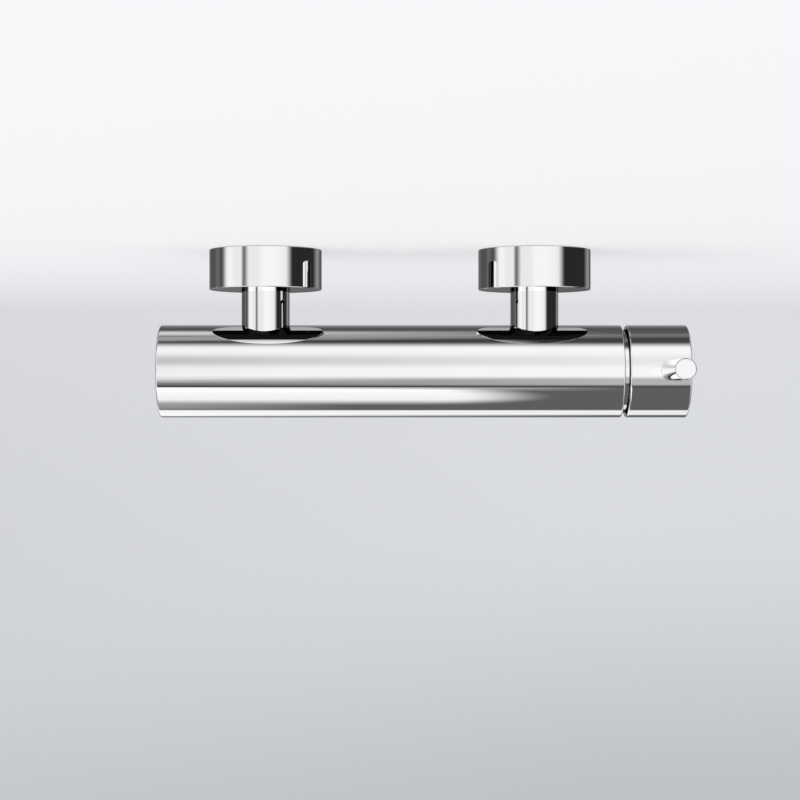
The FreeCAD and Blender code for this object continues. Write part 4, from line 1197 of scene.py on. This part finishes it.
@dataclass(frozen=True)
class Sweep:
    """The pale sweep: a wall behind the object that runs in a cove into a floor far below it, in metres."""

    floor_level: float = -0.95
    wall_gap: float = 0.0004
    half_width: float = 3.0
    wall_top: float = 2.4
    cove: float = 0.3
    cove_steps: int = 24
    # These tones paint the sweep's shade: white on the wall, grey on the floor, and darker at the front and
    # on the left, where less light falls.
    wall_tone: str = "FAFAFC"
    left_tone: str = "D5D7DB"
    right_tone: str = "DDDFE3"
    front_tone: str = "BEC2C7"
    down_from: float = 0.0
    down_to: float = -1.0
    fade_from: float = -0.28
    fade_to: float = -0.64
    fade_lean: float = 0.08
    left_end: float = -0.43
    right_end: float = 0.2
    even: float = 0.5
    even_level: float = 0.95
    far_from: float = 1.2
    far_full: float = 2.7

    def build(self) -> None:
        """Make the sweep, which polished metal doesn't mirror and which is open to a view from behind."""
        bpy.ops.object.select_all(action="DESELECT")
        bpy.ops.mesh.primitive_plane_add(size=2 * self.half_width, location=(0, 0, self.floor_level))
        sweep = bpy.context.active_object
        sweep.name = sweep.data.name = "sweep"
        bpy.ops.object.transform_apply()
        rise = self.wall_top - self.floor_level
        with editing():
            self.select_back(sweep, self.half_width)
            bpy.ops.transform.translate(value=(0, self.wall_gap - self.half_width, 0))
            bpy.ops.mesh.extrude_region_move(TRANSFORM_OT_translate={"value": (0, 0, rise)})
            self.select_back(sweep, self.wall_gap)
            bpy.ops.mesh.bevel(offset=self.cove, segments=self.cove_steps, affect="EDGES")
        bpy.ops.object.shade_smooth()
        sweep.data.materials.append(self.paper())
        sweep.visible_glossy = False

    def select_back(self, sweep: Piece, depth: float) -> None:
        """Select the edge of the floor that runs along the back at this depth."""
        select_edges(sweep, lambda ends: all(
            max(abs(end.y - depth), abs(end.z - self.floor_level)) < MERGE for end in ends))

    def tone(self, add: Adder, place: Node) -> Output:
        """The paper's colour with painted shade: darker from wall to floor and on to the front, and lighter
        to the right, as the light falls off over the sweep.
        """
        split = add("SeparateXYZ", {}, {"Vector": (place, "Object")})
        # Painted shade: the paper darkens down the wall into the floor, on towards the front and towards the
        # left.
        down = add("MapRange", {}, {
            "Value": (split, "Z"), "From Min": self.down_from, "From Max": self.down_to})
        aside = add("MapRange", {}, {
            "Value": (split, "X"), "From Min": self.left_end, "From Max": self.right_end})
        lean = add("Math", TIMES_PLUS, [aside, -self.fade_lean, (split, "Y")])
        onward = add("MapRange", SMOOTH, {
            "Value": lean, "From Min": self.fade_from, "From Max": self.fade_to})
        near = add("Mix", COLOURS, {
            FACTOR: aside, TONE_A: linear(self.left_tone), TONE_B: linear(self.right_tone)})
        floor = add("Mix", COLOURS, {FACTOR: onward, TONE_A: (near, TONE), TONE_B: linear(self.front_tone)})
        return add("Mix", COLOURS, {
            FACTOR: down, TONE_A: linear(self.wall_tone), TONE_B: (floor, TONE)}), TONE

    def paper(self) -> bpy.types.Material:
        """Matt pale paper with painted shade, which is clear from behind."""
        material, add = new_material("matt_pale_paper")
        place = add("TexCoord")
        tone = self.tone(add, place)
        matt = add("BsdfDiffuse", {}, {"Color": tone})
        # The camera sees a share of the paper's tone, with its painted shade, as it is, which keeps the
        # shadows on it pale. Far from the object that share grows and turns white, so the paper's edge runs
        # out into the backdrop.
        far = add("VectorMath", LENGTH, [(place, "Object")])
        out = add("MapRange", SMOOTH, {
            "Value": (far, "Value"), "From Min": self.far_from, "From Max": self.far_full})
        pale = add("Mix", COLOURS, {FACTOR: out, TONE_A: tone, TONE_B: linear(self.wall_tone)})
        lit = add("Emission", {}, {"Color": (pale, TONE), "Strength": self.even_level})
        even = add("MapRange", {}, {"Value": out, "To Min": self.even})
        ray = add("LightPath")
        share = add("Math", TIMES, [(ray, "Is Camera Ray"), even])
        front = add("MixShader", {}, [share, matt, lit])
        side = add("NewGeometry")
        clear = add("BsdfTransparent")
        surface = add("MixShader", {}, [(side, "Backfacing"), front, clear])
        add("OutputMaterial", {}, {"Surface": surface})
        return material


@dataclass(frozen=True)
class Viewpoint:
    """The photograph's camera: straight above, looking down, with the wall at the picture's top."""

    in_front: float = 83.6
    above_axis: float = 1030.0
    lens: float = 83.0
    sensor: float = 36.0

    def build(self, axis_height: float) -> None:
        """Make the camera, at its height above the tube's axis."""
        view = bpy.data.cameras.new("viewpoint")
        view.lens = self.lens
        view.sensor_width = self.sensor
        camera = bpy.data.objects.new("viewpoint", view)
        camera.location = (0, -self.in_front * MM, axis_height + self.above_axis * MM)
        bpy.context.scene.collection.objects.link(camera)
        bpy.context.scene.camera = camera


def main() -> None:
    """Build every piece on the frame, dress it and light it."""
    logging.basicConfig(level=logging.INFO, format="%(message)s")
    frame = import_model()
    bpy.context.scene.view_settings.view_transform = "Standard"
    wardrobe = Wardrobe()
    tube = BodyTube()
    for assembly in (tube, Inlets(), Outlet(), Handle()):
        assembly.dress(wardrobe)
    InnerWorks().dress(wardrobe, frame["nodes"])
    Studio().build()
    Sweep().build()
    Viewpoint().build(tube.spindle.through.z)


if __name__ == "__main__":
    main()
